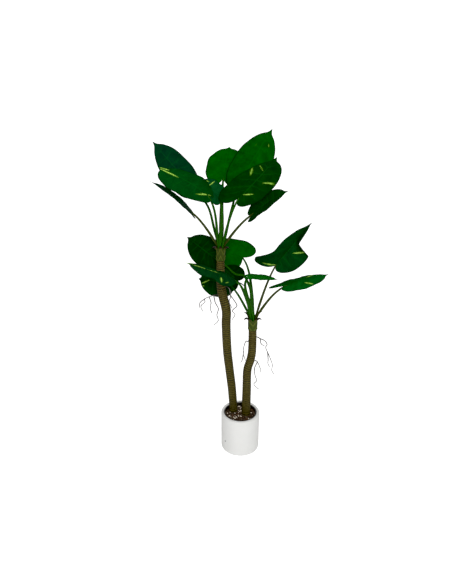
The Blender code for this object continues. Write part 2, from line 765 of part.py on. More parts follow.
def main():
    """Build every piece of the plant."""
    clear_scene()
    pot(make_material("pot_white_matte", (0.80, 0.80, 0.78), 0.55))
    liner(make_material("liner_black_plastic", (0.012, 0.012, 0.012), 0.30))
    soil(make_material("soil_dark", (0.020, 0.012, 0.007), 0.95))
    bark = (0.075, 0.055, 0.020)
    papery = (0.105, 0.100, 0.030)
    for name in ("tall", "short"):
        cane(name, make_material("cane_%s_bark" % name, bark, 0.70))
        sheath(name, make_material("sheath_%s_papery" % name, papery, 0.60))
    tones = {"bright": (0.020, 0.110, 0.012), "deep": (0.010, 0.055, 0.022)}
    for leaf in LEAVES:
        leaf_node(leaf, make_material(leaf.name + "_green", tones[leaf.tone], 0.30))
    for name in ROOTS:
        aerial_root(name, make_material(name + "_grey", (0.22, 0.20, 0.19), 0.80))


if __name__ == "__main__":
    main()
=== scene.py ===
"""A potted pothos: a matte white planter, two ringed canes and sixteen heart-shaped leaves on long stalks.

Metres, +Z up, origin at the centre of the planter's underside. The photograph looks along +Y.
"""

import json
import logging
import math
import random
from dataclasses import dataclass, field
from enum import Enum

import bpy
import numpy as np
from mathutils import Matrix, Vector, noise

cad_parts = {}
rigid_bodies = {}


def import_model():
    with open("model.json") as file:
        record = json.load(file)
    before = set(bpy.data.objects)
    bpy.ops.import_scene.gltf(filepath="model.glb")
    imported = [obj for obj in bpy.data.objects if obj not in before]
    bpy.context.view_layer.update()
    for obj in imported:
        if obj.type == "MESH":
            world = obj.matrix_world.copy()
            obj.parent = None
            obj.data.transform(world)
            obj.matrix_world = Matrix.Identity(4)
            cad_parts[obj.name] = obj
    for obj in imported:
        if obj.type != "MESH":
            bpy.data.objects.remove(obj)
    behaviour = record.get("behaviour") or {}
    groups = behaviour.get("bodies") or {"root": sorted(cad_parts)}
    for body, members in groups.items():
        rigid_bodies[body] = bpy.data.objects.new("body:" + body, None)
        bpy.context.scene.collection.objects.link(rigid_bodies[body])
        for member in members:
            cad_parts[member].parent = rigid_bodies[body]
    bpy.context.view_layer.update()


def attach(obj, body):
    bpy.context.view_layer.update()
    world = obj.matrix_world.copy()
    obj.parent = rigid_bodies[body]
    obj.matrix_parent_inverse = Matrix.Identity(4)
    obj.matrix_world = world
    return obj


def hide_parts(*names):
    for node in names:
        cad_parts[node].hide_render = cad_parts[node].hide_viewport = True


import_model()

log = logging.getLogger("potted_pothos")

IMAGE_HEIGHT = 584


class Crown(Enum):
    """The two canes, each with its own crown of leaves."""

    TALL = "tall"
    SHORT = "short"


class Tone(Enum):
    """The two greens of the record's leaf slots."""

    BRIGHT = "leaf_bright"
    DEEP = "leaf_deep"


def linear(colour: str) -> tuple[float, float, float, float]:
    """Turn an sRGB hex colour into linear RGBA.

    Args:
        colour: the colour as "#RRGGBB".

    Returns:
        Red, green, blue and alpha, linear.
    """
    made = []
    for start in (1, 3, 5):
        value = int(colour[start:start + 2], 16) / 255.0
        made.append(value / 12.92 if value <= 0.04045 else ((value + 0.055) / 1.055) ** 2.4)
    return made[0], made[1], made[2], 1.0


def add_node(tree: bpy.types.NodeTree, kind: str, inputs: dict | None = None,
             **settings: object) -> bpy.types.Node:
    """Add a shader node with its settings and links.

    Args:
        tree: the material's node tree.
        kind: the node's type name, without the "ShaderNode" in front.
        inputs: a socket's name or number, and the value or output socket that it takes.
        settings: the node's own properties.

    Returns:
        The new node.
    """
    node = tree.nodes.new("ShaderNode" + kind)
    for name, value in settings.items():
        setattr(node, name, value)
    for key, value in (inputs or {}).items():
        if isinstance(value, bpy.types.NodeSocket):
            tree.links.new(value, node.inputs[key])
        else:
            node.inputs[key].default_value = value
    return node


MIX_FACTOR = 0
MIX_FIRST = 6
MIX_SECOND = 7
MIX_RESULT = 2

Socket = bpy.types.NodeSocket


@dataclass
class Coat:
    """A material in the making, with the steps that the finishes share."""

    material: bpy.types.Material
    tree: bpy.types.NodeTree
    shader: bpy.types.Node

    def place(self) -> Socket:
        """Give the place on the piece, in metres."""
        return add_node(self.tree, "TexCoord").outputs["Object"]

    def mark(self, name: str, output: str = "Fac") -> Socket:
        """Read a mark that the mesh carries: "Fac" for a number, "Vector" for a vector."""
        return add_node(self.tree, "Attribute", attribute_name=name).outputs[output]

    def pair(self, name: str) -> tuple[Socket, Socket]:
        """Read the first two parts of a vector mark."""
        split = add_node(self.tree, "SeparateXYZ", {0: self.mark(name, "Vector")})
        return split.outputs[0], split.outputs[1]

    def longways(self, place: Socket, squeeze: float) -> Socket:
        """Squeeze the heights of places, so that a grain laid on them runs longways."""
        return add_node(self.tree, "Mapping", {"Vector": place, "Scale": (1.0, 1.0, squeeze)}).outputs[0]

    def grain(self, place: Socket, size_mm: float, detail: float = 2.0, roughness: float = 0.5) -> Socket:
        """Lay a cloudy grain on places.

        Args:
            place: the places.
            size_mm: how large the grain is.
            detail: how many finer grains lie on top.
            roughness: how strong the finer grains are.

        Returns:
            Values from 0 to 1.
        """
        inputs = {"Vector": place, "Scale": 1000 / size_mm, "Detail": detail, "Roughness": roughness}
        return add_node(self.tree, "TexNoise", inputs).outputs[0]

    def spread(self, value: Socket, low: float, high: float, first: float = 0.0, last: float = 1.0,
               smooth: bool = False) -> Socket:
        """Turn low to high into first to last, and hold the ends.

        Args:
            value: the value to turn.
            low: the value that becomes first.
            high: the value that becomes last.
            first: what low becomes.
            last: what high becomes.
            smooth: whether it starts and stops gently.

        Returns:
            The turned value.
        """
        inputs = {"Value": value, "From Min": low, "From Max": high, "To Min": first, "To Max": last}
        kind = "SMOOTHSTEP" if smooth else "LINEAR"
        return add_node(self.tree, "MapRange", inputs, interpolation_type=kind).outputs[0]

    def reckon(self, operation: str, *values: Socket | float) -> Socket:
        """Do one sum on one, two or three values."""
        return add_node(self.tree, "Math", dict(enumerate(values)), operation=operation).outputs[0]

    def blend(self, share: Socket, first: Socket | str, second: str) -> Socket:
        """Mix a second colour over a first one.

        Args:
            share: how much of the second colour shows.
            first: the first colour, as a socket or as hex.
            second: the second colour, as hex.

        Returns:
            The mixed colour.
        """
        under = linear(first) if isinstance(first, str) else first
        inputs = {MIX_FACTOR: share, MIX_FIRST: under, MIX_SECOND: linear(second)}
        return add_node(self.tree, "Mix", inputs, data_type="RGBA").outputs[MIX_RESULT]

    def off_middle(self, share: Socket) -> Socket:
        """Say how far a share lies from one half."""
        return self.reckon("ABSOLUTE", self.reckon("SUBTRACT", share, 0.5))

    def side_veins(self, along: Socket, bend: Socket, pairs: int, width: float, strength: float) -> Socket:
        """Draw the side veins of a leaf.

        Args:
            along: the share of the leaf's length at which a vein would leave the midrib.
            bend: how far each vein strays, as a share of the gap between two veins.
            pairs: how many pairs of veins there are.
            width: half a vein's width, as a share of that gap.
            strength: the value on a vein's middle line.

        Returns:
            The strength on the veins, and 0 between them.
        """
        turn = self.reckon("FRACT", self.reckon("MULTIPLY_ADD", along, float(pairs), bend))
        return self.spread(self.off_middle(turn), 0.0, width, strength, 0.0, smooth=True)

    def roughen(self, value: Socket, low: float, high: float) -> None:
        """Let the shader's roughness run from low to high as a value runs from 0 to 1."""
        self.tree.links.new(self.spread(value, 0.0, 1.0, low, high), self.shader.inputs["Roughness"])

    def paint(self, colour: Socket, relief: Socket, strength: float, depth: float) -> bpy.types.Material:
        """Colour the shader and press a relief into it.

        Args:
            colour: the colour.
            relief: the relief's height, from 0 to 1.
            strength: how strong the relief is.
            depth: how deep it is, in metres.

        Returns:
            The finished material.
        """
        self.tree.links.new(colour, self.shader.inputs["Base Color"])
        bump = add_node(self.tree, "Bump", {"Height": relief, "Strength": strength, "Distance": depth})
        self.tree.links.new(bump.outputs[0], self.shader.inputs["Normal"])
        return self.material


@dataclass(frozen=True)
class Finish:
    """What every finish has: a name, a main colour, a roughness and an index of refraction."""

    name: str
    colour: str
    roughness: float
    ior: float
    specular: float = 0.5

    def begin(self) -> Coat:
        """Make the material with the values that hold all over the surface.

        Returns:
            The coat, ready for its colours and its relief.
        """
        material = bpy.data.materials.new(self.name)
        material.use_nodes = True
        tree = material.node_tree
        shader = tree.nodes["Principled BSDF"]
        shader.inputs["Base Color"].default_value = linear(self.colour)
        shader.inputs["Roughness"].default_value = self.roughness
        shader.inputs["IOR"].default_value = self.ior
        shader.inputs["Specular IOR Level"].default_value = self.specular
        material.diffuse_color = linear(self.colour)
        return Coat(material, tree, shader)


@dataclass(frozen=True)
class MatteGlazedCeramic(Finish):
    """Slip-cast stoneware under a matte white glaze: soft broad highlights, a faint mottle, a fine tooth."""

    shade: str = "#C0C0BD"
    pinhole: str = "#1C1814"
    mottle_mm: float = 38.0
    tooth_mm: float = 0.9
    pinhole_place: tuple[float, float, float] = (-0.0670, -0.0523, 0.0555)

    def material(self) -> bpy.types.Material:
        """Build the glaze.

        Returns:
            The finished material.
        """
        coat = self.begin()
        place = coat.place()
        mottle = coat.grain(place, self.mottle_mm, 3.0)
        body = coat.blend(coat.spread(mottle, 0.35, 0.75, 0.0, 0.4), self.colour, self.shade)
        # One dark pinhole in the glaze, on the left of the side that faces the viewer.
        away = add_node(coat.tree, "VectorMath", {0: place, 1: self.pinhole_place}, operation="DISTANCE")
        glaze = coat.blend(coat.spread(away.outputs["Value"], 0.0026, 0.0040, 0.95, 0.0), body, self.pinhole)
        return coat.paint(glaze, coat.grain(place, self.tooth_mm), 0.12, 0.0003)


@dataclass(frozen=True)
class MouldedPolypropylene(Finish):
    """Injection-moulded black polypropylene: a low sheen, with dust caught on it near the soil."""

    dust: str = "#4B4032"
    speck_mm: float = 5.6

    def material(self) -> bpy.types.Material:
        """Build the plastic.

        Returns:
            The finished material.
        """
        coat = self.begin()
        speck = coat.grain(coat.place(), self.speck_mm, 5.0)
        coat.roughen(speck, self.roughness - 0.06, self.roughness + 0.25)
        tint = coat.blend(coat.spread(speck, 0.55, 0.80, 0.0, 0.55), self.colour, self.dust)
        return coat.paint(tint, speck, 0.15, 0.0003)


@dataclass(frozen=True)
class BarkPottingMix(Finish):
    """Damp bark-based potting mix: near black with brown fibres, no shine, coarse crumbs."""

    fibre: str = "#3A291A"
    grit: str = "#6E604C"
    crumb_mm: float = 3.2

    def material(self) -> bpy.types.Material:
        """Build the soil.

        Returns:
            The finished material.
        """
        coat = self.begin()
        place = coat.place()
        crumbs = add_node(coat.tree, "TexVoronoi", {"Vector": place, "Scale": 1000 / self.crumb_mm})
        brown = coat.blend(coat.grain(place, self.crumb_mm * 2, 6.0), self.colour, self.fibre)
        single = add_node(coat.tree, "SeparateColor", {0: crumbs.outputs["Color"]})
        tint = coat.blend(coat.spread(single.outputs[0], 0.86, 0.90), brown, self.grit)
        return coat.paint(tint, crumbs.outputs["Distance"], 0.8, 0.0012)


@dataclass(frozen=True)
class BrokenChip(Finish):
    """Chips of bark or grit, broken by hand: each lump its own shade, streaked along its grain."""

    pale: str = "#B9A88E"
    grain_mm: float = 1.6

    def material(self) -> bpy.types.Material:
        """Build the chip.

        Returns:
            The finished material.
        """
        coat = self.begin()
        grain = coat.grain(coat.place(), self.grain_mm, 4.0)
        share = coat.spread(coat.reckon("MULTIPLY", coat.mark("lump_shade"), grain), 0.05, 0.55)
        return coat.paint(coat.blend(share, self.colour, self.pale), grain, 0.5, 0.0005)


@dataclass(frozen=True)
class RingedCaneBark(Finish):
    """The living bark of an aroid's cane: olive brown and dry, with painted shade that darkens the grooves
    above each leaf scar.
    """

    # The near-black colour of the painted shade that fills the grooves.
    groove: str = "#0C0903"
    lip: str = "#5C5624"
    lichen: str = "#6C6640"
    blotch_mm: float = 26.0
    fibre_mm: float = 1.8
    squeeze: float = 0.22

    def material(self) -> bpy.types.Material:
        """Build the bark.

        Returns:
            The finished material.
        """
        coat = self.begin()
        place = coat.place()
        blotch = coat.grain(place, self.blotch_mm, 4.0)
        body = coat.blend(coat.spread(blotch, 0.50, 0.72, 0.0, 0.55), self.colour, self.lip)
        # Painted shade: each ring darkens from its middle into the grooves at both of its ends, where shade
        # falls.
        dark = coat.spread(coat.off_middle(coat.mark("ring_share")), 0.10, 0.34, smooth=True)
        shade_in_grooves = coat.blend(dark, body, self.groove)
        fibre = coat.grain(coat.longways(place, self.squeeze), self.fibre_mm, 3.0)
        tint = coat.blend(coat.spread(fibre, 0.60, 0.74, 0.0, 0.5), shade_in_grooves, self.lichen)
        return coat.paint(tint, fibre, 0.45, 0.0005)


@dataclass(frozen=True)
class DriedScaleLeaf(Finish):
    """Dried scale leaves: papery, yellow-olive where they clasp the cane, dark and brittle at their tips,
    with painted shade in the step above each scale's rim.
    """

    rim: str = "#5E6622"
    tip: str = "#17100A"
    rust: str = "#2E2010"
    fibre_mm: float = 1.1
    squeeze: float = 0.12

    def material(self) -> bpy.types.Material:
        """Build the paper-thin scale.

        Returns:
            The finished material.
        """
        coat = self.begin()
        step, tip_share = coat.pair("scale_place")
        fibre = coat.grain(coat.longways(coat.place(), self.squeeze), self.fibre_mm, 3.0)
        worn = coat.spread(step, 0.55, 1.0, smooth=True)
        body = coat.blend(coat.reckon("MULTIPLY", worn, fibre), self.colour, self.rim)
        # Painted shade: a dark band in the step just above each scale's rim, where the next scale comes out
        # behind it.
        under = coat.blend(coat.spread(step, 0.0, 0.16, 0.75, 0.0), body, self.tip)
        ragged = coat.reckon("MULTIPLY_ADD", fibre, 0.5, tip_share)
        rusty = coat.blend(coat.spread(ragged, 0.30, 0.55), under, self.rust)
        burnt = coat.blend(coat.spread(ragged, 0.50, 0.75), rusty, self.tip)
        return coat.paint(burnt, fibre, 0.5, 0.0004)


@dataclass(frozen=True)
class WaxyLeafFace(Finish):
    """The upper face of a pothos leaf: a waxy cuticle over deep green, pale side veins and cream flecks."""

    light: str = "#127A10"
    vein: str = "#135A12"
    cream: str = "#A6CC5C"
    halo: str = "#3C6A08"
    edge: str = "#06260C"
    vein_pairs: int = 9
    vein_mm: float = 1.6
    vein_gap_mm: float = 12.0
    mottle_mm: float = 34.0
    net_mm: float = 3.4
    frays_per_metre: float = 260.0

    def material(self) -> bpy.types.Material:
        """Build the leaf's upper face.

        Returns:
            The finished material.
        """
        coat = self.begin()
        along, sideways = coat.pair("blade_place")
        across = coat.reckon("ABSOLUTE", sideways)
        flat = coat.mark("blade_flat", "Vector")
        mottle = coat.grain(flat, self.mottle_mm, 4.0, 0.6)
        coat.roughen(mottle, self.roughness - 0.10, self.roughness + 0.12)
        body = coat.blend(coat.spread(mottle, 0.30, 0.78), self.colour, self.light)
        # Side veins leave the midrib in pairs, sweep to the edge and fade towards it.
        bend = coat.spread(mottle, 0.0, 1.0, -0.45, 0.45)
        side_vein = coat.side_veins(along, bend, self.vein_pairs, self.vein_mm / self.vein_gap_mm, 0.13)
        faint = coat.reckon("MULTIPLY", side_vein, coat.spread(across, 0.35, 0.95, 1.0, 0.15))
        midrib = coat.spread(across, 0.012, 0.045, 0.20, 0.0, smooth=True)
        veins = coat.reckon("MAXIMUM", faint, midrib)
        veined = coat.blend(veins, body, self.vein)
        edged = coat.blend(coat.spread(across, 0.90, 1.0, 0.0, 0.7, smooth=True), veined, self.edge)
        # Cream flecks with a yellow-olive halo, broken up along their edges.
        frayed = coat.grain(flat, 1000 / self.frays_per_metre, 5.0, 0.7)
        torn = coat.reckon("MULTIPLY_ADD", frayed, 3.0, coat.mark("fleck"))
        ringed = coat.blend(coat.spread(torn, 0.60, 1.95, 0.0, 0.60, smooth=True), edged, self.halo)
        tint = coat.blend(coat.spread(torn, 1.65, 2.60, 0.0, 0.85, smooth=True), ringed, self.cream)
        net = add_node(coat.tree, "TexVoronoi", {"Vector": flat, "Scale": 1000 / self.net_mm},
                       feature="DISTANCE_TO_EDGE")
        relief = coat.reckon("MULTIPLY_ADD", veins, -1.0, net.outputs[0])
        return coat.paint(tint, relief, 0.10, 0.0002)


@dataclass(frozen=True)
class MattLeafBack(Finish):
    """The under face of a leaf: duller than the upper face, with its veins standing out."""

    vein: str = "#1A4A22"
    vein_pairs: int = 9
    vein_mm: float = 2.0
    vein_gap_mm: float = 18.0
    mottle_mm: float = 22.0

    def material(self) -> bpy.types.Material:
        """Build the leaf's under face.

        Returns:
            The finished material.
        """
        coat = self.begin()
        along = coat.pair("blade_place")[0]
        mottle = coat.grain(coat.mark("blade_flat", "Vector"), self.mottle_mm, 4.0)
        bend = coat.spread(mottle, 0.0, 1.0, -0.5, 0.5)
        side_vein = coat.side_veins(along, bend, self.vein_pairs, self.vein_mm / self.vein_gap_mm, 0.32)
        both = coat.reckon("MAXIMUM", side_vein, coat.spread(mottle, 0.3, 0.8, 0.0, 0.35))
        return coat.paint(coat.blend(both, self.colour, self.vein), side_vein, 0.2, 0.0004)


@dataclass(frozen=True)
class StalkSkin(Finish):
    """The skin of a leaf stalk: smooth, slightly glossy, finely striped, with its own colour at its foot."""

    foot: str = "#124406"
    speck: str = "#466C1C"
    stripe_mm: float = 1.2
    squeeze: float = 0.08

    def material(self) -> bpy.types.Material:
        """Build the stalk's skin.

        Returns:
            The finished material.
        """
        coat = self.begin()
        low = coat.spread(coat.mark("stalk_share"), 0.0, 0.30, 1.0, 0.0, smooth=True)
        body = coat.blend(low, self.colour, self.foot)
        stripe = coat.grain(coat.longways(coat.place(), self.squeeze), self.stripe_mm)
        tint = coat.blend(coat.spread(stripe, 0.50, 0.75, 0.0, 0.5), body, self.speck)
        return coat.paint(tint, stripe, 0.25, 0.0003)


@dataclass(frozen=True)
class CorkyRootSkin(Finish):
    """The corky skin of an aerial root: dry grey-brown with paler rubbed patches, darker at its foot."""

    pale: str = "#8A8886"
    foot: str = "#1C1A10"
    patch_mm: float = 5.0

    def material(self) -> bpy.types.Material:
        """Build the root's skin.

        Returns:
            The finished material.
        """
        coat = self.begin()
        patch = coat.grain(coat.place(), self.patch_mm, 4.0)
        tint = coat.blend(coat.spread(patch, 0.38, 0.66), self.colour, self.pale)
        near = coat.spread(coat.mark("root_place"), 0.18, 0.42, 0.85, 0.0, smooth=True)
        return coat.paint(coat.blend(near, tint, self.foot), patch, 0.5, 0.0004)


@dataclass(frozen=True)
class LitOpalAcrylic(Finish):
    """A sweep of opal acrylic lit from behind: an even white that takes hardly any shadow, faintly satin."""

    glow: float = 1.05
    grain_mm: float = 9.0

    def material(self) -> bpy.types.Material:
        """Build the acrylic.

        Returns:
            The finished material.
        """
        coat = self.begin()
        coat.shader.inputs["Emission Color"].default_value = linear("#FFFFFF")
        coat.shader.inputs["Emission Strength"].default_value = self.glow
        grain = coat.grain(coat.place(), self.grain_mm)
        coat.roughen(grain, self.roughness - 0.05, self.roughness + 0.05)
        return coat.material


def smooth_step(low: float, high: float, value: np.ndarray) -> np.ndarray:
    """Rise smoothly from 0 at low to 1 at high."""
    share = np.clip((value - low) / (high - low), 0.0, 1.0)
    return share * share * (3.0 - 2.0 * share)


def through_knots(knots: np.ndarray, places: np.ndarray) -> np.ndarray:
    """Follow a smooth curve that passes through every knot.

    Args:
        knots: the points, one a row.
        places: where along the curve, each from 0 to 1.

    Returns:
        One point a row.
    """
    spans = len(knots) - 1
    place = np.clip(places, 0.0, 1.0) * spans
    index = np.minimum(place.astype(int), spans - 1)
    f = (place - index)[:, None]
    b = knots[index]
    c = knots[index + 1]
    a = np.where(index[:, None] > 0, knots[np.maximum(index - 1, 0)], 2 * b - c)
    d = np.where(index[:, None] + 2 <= spans, knots[np.minimum(index + 2, spans)], 2 * c - b)
    return 0.5 * (2 * b + (c - a) * f + (2 * a - 5 * b + 4 * c - d) * f**2 + (3 * b - a - 3 * c + d) * f**3)


@dataclass(frozen=True)
class Relief:
    """A smooth random relief: how high it stands, how far apart its bumps lie, and a seed."""

    height: float
    size_mm: float
    seed: float = 0.0

    def at(self, points: np.ndarray, more: float = 0.0) -> np.ndarray:
        """Give the relief at each point.

        Args:
            points: the points, in metres.
            more: another seed, on top of its own.

        Returns:
            One value a point, between about -height and height.
        """
        scale = 1000.0 / self.size_mm
        seed = self.seed + more
        values = [noise.noise((p[0] * scale + seed, p[1] * scale - seed, p[2] * scale)) for p in points]
        return self.height * np.array(values)


def add_object(name: str, data: bpy.types.ID) -> bpy.types.Object:
    """Add an object to the scene.

    Args:
        name: its name.
        data: its mesh, lamp or camera.

    Returns:
        The object.
    """
    made = bpy.data.objects.new(name, data)
    bpy.context.scene.collection.objects.link(made)
    return made


@dataclass
class Draft:
    """A mesh in the making: closed skins are added one by one, each with its finish and its marks."""

    points: list[np.ndarray] = field(default_factory=list)
    faces: list[tuple[int, ...]] = field(default_factory=list)
    slots: list[int] = field(default_factory=list)
    marks: dict[str, list[np.ndarray]] = field(default_factory=dict)
    count: int = 0

    def add(self, points: np.ndarray, faces: list[tuple[int, ...]], slot: int = 0,
            slots: list[int] | None = None, **marks: np.ndarray) -> None:
        """Add one skin.

        Args:
            points: its points, one a row.
            faces: its faces, as numbers of its own points.
            slot: the finish that all its faces take.
            slots: a finish for each face, in place of slot.
            marks: values at each point that the finishes read.
        """
        for name, values in marks.items():
            if name not in self.marks:
                self.marks[name] = [np.zeros((self.count,) + np.shape(values)[1:])]
        for name, kept in self.marks.items():
            kept.append(marks.get(name, np.zeros((len(points),) + np.shape(kept[0])[1:])))
        self.points.append(np.asarray(points, float))
        self.faces += [tuple(i + self.count for i in face) for face in faces]
        self.slots += slots if slots is not None else [slot] * len(faces)
        self.count += len(points)

    def build(self, name: str, materials: list[bpy.types.Material]) -> bpy.types.Object:
        """Turn the draft into an object.

        Args:
            name: the piece's name.
            materials: its finishes, in the order of their slots.

        Returns:
            The object, in the scene.
        """
        mesh = bpy.data.meshes.new(name)
        mesh.from_pydata(np.concatenate(self.points).tolist(), [], self.faces)
        for material in materials:
            mesh.materials.append(material)
        mesh.polygons.foreach_set("material_index", np.array(self.slots, np.int32))
        mesh.polygons.foreach_set("use_smooth", np.ones(len(self.faces), bool))
        for mark, values in self.marks.items():
            flat = np.concatenate(values)
            vector = flat.ndim == 2
            attribute = mesh.attributes.new(mark, "FLOAT_VECTOR" if vector else "FLOAT", "POINT")
            attribute.data.foreach_set("vector" if vector else "value", flat.astype(np.float32).ravel())
        mesh.update()
        return add_object(name, mesh)


def round_angles(sides: int) -> np.ndarray:
    """Give evenly spaced angles round a circle."""
    return np.arange(sides) * 2 * np.pi / sides


def level_ring(angles: np.ndarray, radius: float = 1.0, height: float = 0.0) -> np.ndarray:
    """Place a point at each angle of a level circle round the Z axis, one point a row."""
    return np.stack([radius * np.cos(angles), radius * np.sin(angles), np.full(len(angles), height)], 1)


def neighbours(sides: int) -> list[tuple[int, int]]:
    """Pair each number of a ring with the next one."""
    return [(i, (i + 1) % sides) for i in range(sides)]


def grid_faces(rows: int, columns: int, start: int = 0, closed: bool = True) -> list[tuple[int, ...]]:
    """Number the faces of a grid of points.

    Args:
        rows: rows of points.
        columns: points in each row.
        start: the number of the first point.
        closed: whether each row runs back to its first point.

    Returns:
        Four-cornered faces that face out where rows rise and columns run anticlockwise.
    """
    made = []
    for low in range(start, start + (rows - 1) * columns, columns):
        for i, j in neighbours(columns)[:None if closed else -1]:
            made.append((low + i, low + j, low + columns + j, low + columns + i))
    return made


def turned(profile: list[tuple[float, float]], sides: int) -> tuple[np.ndarray, list[tuple[int, ...]]]:
    """Turn a profile about Z into a closed solid.

    Args:
        profile: (radius, height) pairs that start and end on the axis.
        sides: how many faces there are round the solid.

    Returns:
        The points and the faces.
    """
    rings = [level_ring(round_angles(sides), r, z) for r, z in profile[1:-1]]
    ends = np.array([(0.0, 0.0, profile[0][1]), (0.0, 0.0, profile[-1][1])])
    points = np.concatenate(rings + [ends])
    faces = grid_faces(len(rings), sides)
    first = len(points) - 2
    last = (len(rings) - 1) * sides
    for i, j in neighbours(sides):
        faces.append((first, j, i))
        faces.append((last + i, last + j, first + 1))
    return points, faces


def arc(centre_r: float, centre_z: float, radius: float, start: float, end: float,
        steps: int) -> list[tuple[float, float]]:
    """Give points along an arc of a profile, from one angle to another in degrees."""
    turn = np.radians(np.linspace(start, end, steps + 1))
    return [(centre_r + radius * math.cos(a), centre_z + radius * math.sin(a)) for a in turn]


def line_frames(line: np.ndarray) -> tuple[np.ndarray, np.ndarray]:
    """Find two directions across a line at each of its points, turning as little as they can.

    Args:
        line: the points.

    Returns:
        The two directions at each point.
    """
    ahead = np.empty_like(line)
    ahead[1:-1] = line[2:] - line[:-2]
    ahead[0] = line[1] - line[0]
    ahead[-1] = line[-1] - line[-2]
    ahead /= np.linalg.norm(ahead, axis=1)[:, None]
    side = np.cross(ahead[0], (0.0, 1.0, 0.0))
    if np.linalg.norm(side) < 0.2:
        side = np.cross(ahead[0], (1.0, 0.0, 0.0))
    sides = np.empty_like(line)
    for i, way in enumerate(ahead):
        side = side - way * side.dot(way)
        side /= np.linalg.norm(side)
        sides[i] = side
    return sides, np.cross(ahead, sides)


def tube(line: np.ndarray, radii: np.ndarray, sides: int) -> tuple[np.ndarray, list[tuple[int, ...]]]:
    """Wrap a closed tube round a line.

    Args:
        line: the centreline.
        radii: one radius a point, or one for each side of each point.
        sides: how many faces there are round the tube.

    Returns:
        The points and the faces.
    """
    side, up = line_frames(line)
    turn = round_angles(sides)
    reach = np.broadcast_to(radii if np.ndim(radii) == 2 else np.asarray(radii)[:, None], (len(line), sides))
    across = side[:, None, :] * np.cos(turn)[None, :, None] + up[:, None, :] * np.sin(turn)[None, :, None]
    points = (line[:, None, :] + across * reach[:, :, None]).reshape(-1, 3)
    faces = grid_faces(len(line), sides)
    last = (len(line) - 1) * sides
    faces.append(tuple(reversed(range(sides))))
    faces.append(tuple(range(last, last + sides)))
    return points, faces


def seat_piece(piece: bpy.types.Object, slot: str, *nodes: str) -> None:
    """Put a finished piece on the plant in place of its plain nodes, and report it.

    Args:
        piece: the piece.
        slot: the record's material slot; not used.
        nodes: the plain nodes that it stands for.
    """
    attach(piece, "root")
    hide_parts(*nodes)
    log.info("%s: %d faces, stands for %s", piece.name, len(piece.data.polygons), ", ".join(nodes))


@dataclass
class Planter:
    """The white planter: straight sides, a rounded shoulder, a thick wall and a flat closed underside."""

    radius: float = 0.0850
    height: float = 0.1800
    wall: float = 0.0125
    floor: float = 0.0120
    shoulder: float = 0.0075
    foot_round: float = 0.0020
    slant: float = 0.0040
    sides: int = 160
    finish: MatteGlazedCeramic = MatteGlazedCeramic("matte_glazed_stoneware", "#C6C6C4", 0.62, 1.5, 0.2)

    def build(self) -> None:
        """Make the planter."""
        inner = self.radius - self.wall
        lip = self.wall - self.shoulder
        level = self.radius - self.foot_round
        profile = [(0.0, 0.0), (self.radius * 0.5, 0.0), (level, 0.0)]
        profile += arc(level, self.foot_round, self.foot_round, -90, 0, 6)[1:]
        profile += [(self.radius, z) for z in np.linspace(0.02, 0.16, 8)]
        profile += arc(self.radius - self.shoulder, self.height - self.shoulder, self.shoulder, 0, 90, 12)
        profile += arc(inner + lip, self.height - lip, lip, 90, 180, 8)[1:]
        slant = self.slant
        profile += [(inner, self.floor + slant), (inner - slant, self.floor), (0.0, self.floor)]
        draft = Draft()
        draft.add(*turned(profile, self.sides))
        seat_piece(draft.build("planter", [self.finish.material()]), "pot_white", "pot")


@dataclass
class NurseryLiner:
    """The black nursery pot that stands in the planter, with a rolled rim."""

    radius: float = 0.0705
    wall: float = 0.0016
    rim_radius: float = 0.0723
    rim_height: float = 0.0080
    top: float = 0.1765
    foot: float = 0.0123
    foot_round: float = 0.0030
    rim_round: float = 0.0012
    lip_round: float = 0.0010
    chamfer: float = 0.0004
    floor: float = 0.0020
    corner: float = 0.0020
    sides: int = 120
    finish: MouldedPolypropylene = MouldedPolypropylene("moulded_black_polypropylene", "#15130F", 0.30, 1.49)

    def build(self) -> None:
        """Make the liner."""
        inside = self.radius - self.wall
        low = self.top - self.rim_height
        level = self.radius - self.foot_round
        floor = self.foot + self.floor
        profile = [(0.0, self.foot), (level, self.foot)]
        profile += arc(level, self.foot + self.foot_round, self.foot_round, -90, 0, 4)[1:]
        chamfer = self.chamfer
        profile += [(self.radius, low), (self.rim_radius - chamfer, low), (self.rim_radius, low + chamfer)]
        profile += arc(self.rim_radius - self.rim_round, self.top - self.rim_round, self.rim_round, 0, 90, 5)
        profile += arc(inside + self.lip_round, self.top - self.lip_round, self.lip_round, 90, 180, 5)
        profile += [(inside, floor + self.corner), (inside - self.corner, floor), (0.0, floor)]
        draft = Draft()
        draft.add(*turned(profile, self.sides))
        seat_piece(draft.build("nursery_pot", [self.finish.material()]), "liner_black", "nursery_liner")


CANE_FOOT = 0.060
CANE_RADIUS = 0.0178
CANE_RELIEF = 0.0009
CANE_TOP = {Crown.TALL: 0.905, Crown.SHORT: 0.590}
CANE_DEPTH = {Crown.TALL: 0.030, Crown.SHORT: 0.005}
# Height and sideways place of each cane's centreline, in metres
CANE_KNOTS = {
    Crown.TALL: np.array((
        (0.060, -0.026), (0.160, -0.030), (0.270, -0.037), (0.370, -0.048), (0.470, -0.0585),
        (0.590, -0.0635), (0.660, -0.0630), (0.750, -0.082), (0.845, -0.086), (0.905, -0.085))),
    Crown.SHORT: np.array((
        (0.060, 0.022), (0.165, 0.025), (0.285, 0.027), (0.385, 0.028), (0.435, 0.040), (0.485, 0.047),
        (0.590, 0.047))),
}
# Height, and share of the full radius that each cane has there
CANE_GIRTH = {
    Crown.TALL: np.array((
        (0.060, 0.96), (0.300, 1.02), (0.560, 1.05), (0.720, 1.06), (0.800, 0.97), (0.860, 0.88),
        (0.905, 0.87))),
    Crown.SHORT: np.array((
        (0.060, 1.03), (0.210, 1.08), (0.350, 1.02), (0.480, 0.97), (0.560, 0.93), (0.590, 0.93))),
}
CANE_PLACES = np.linspace(0.0, 1.0, 61)


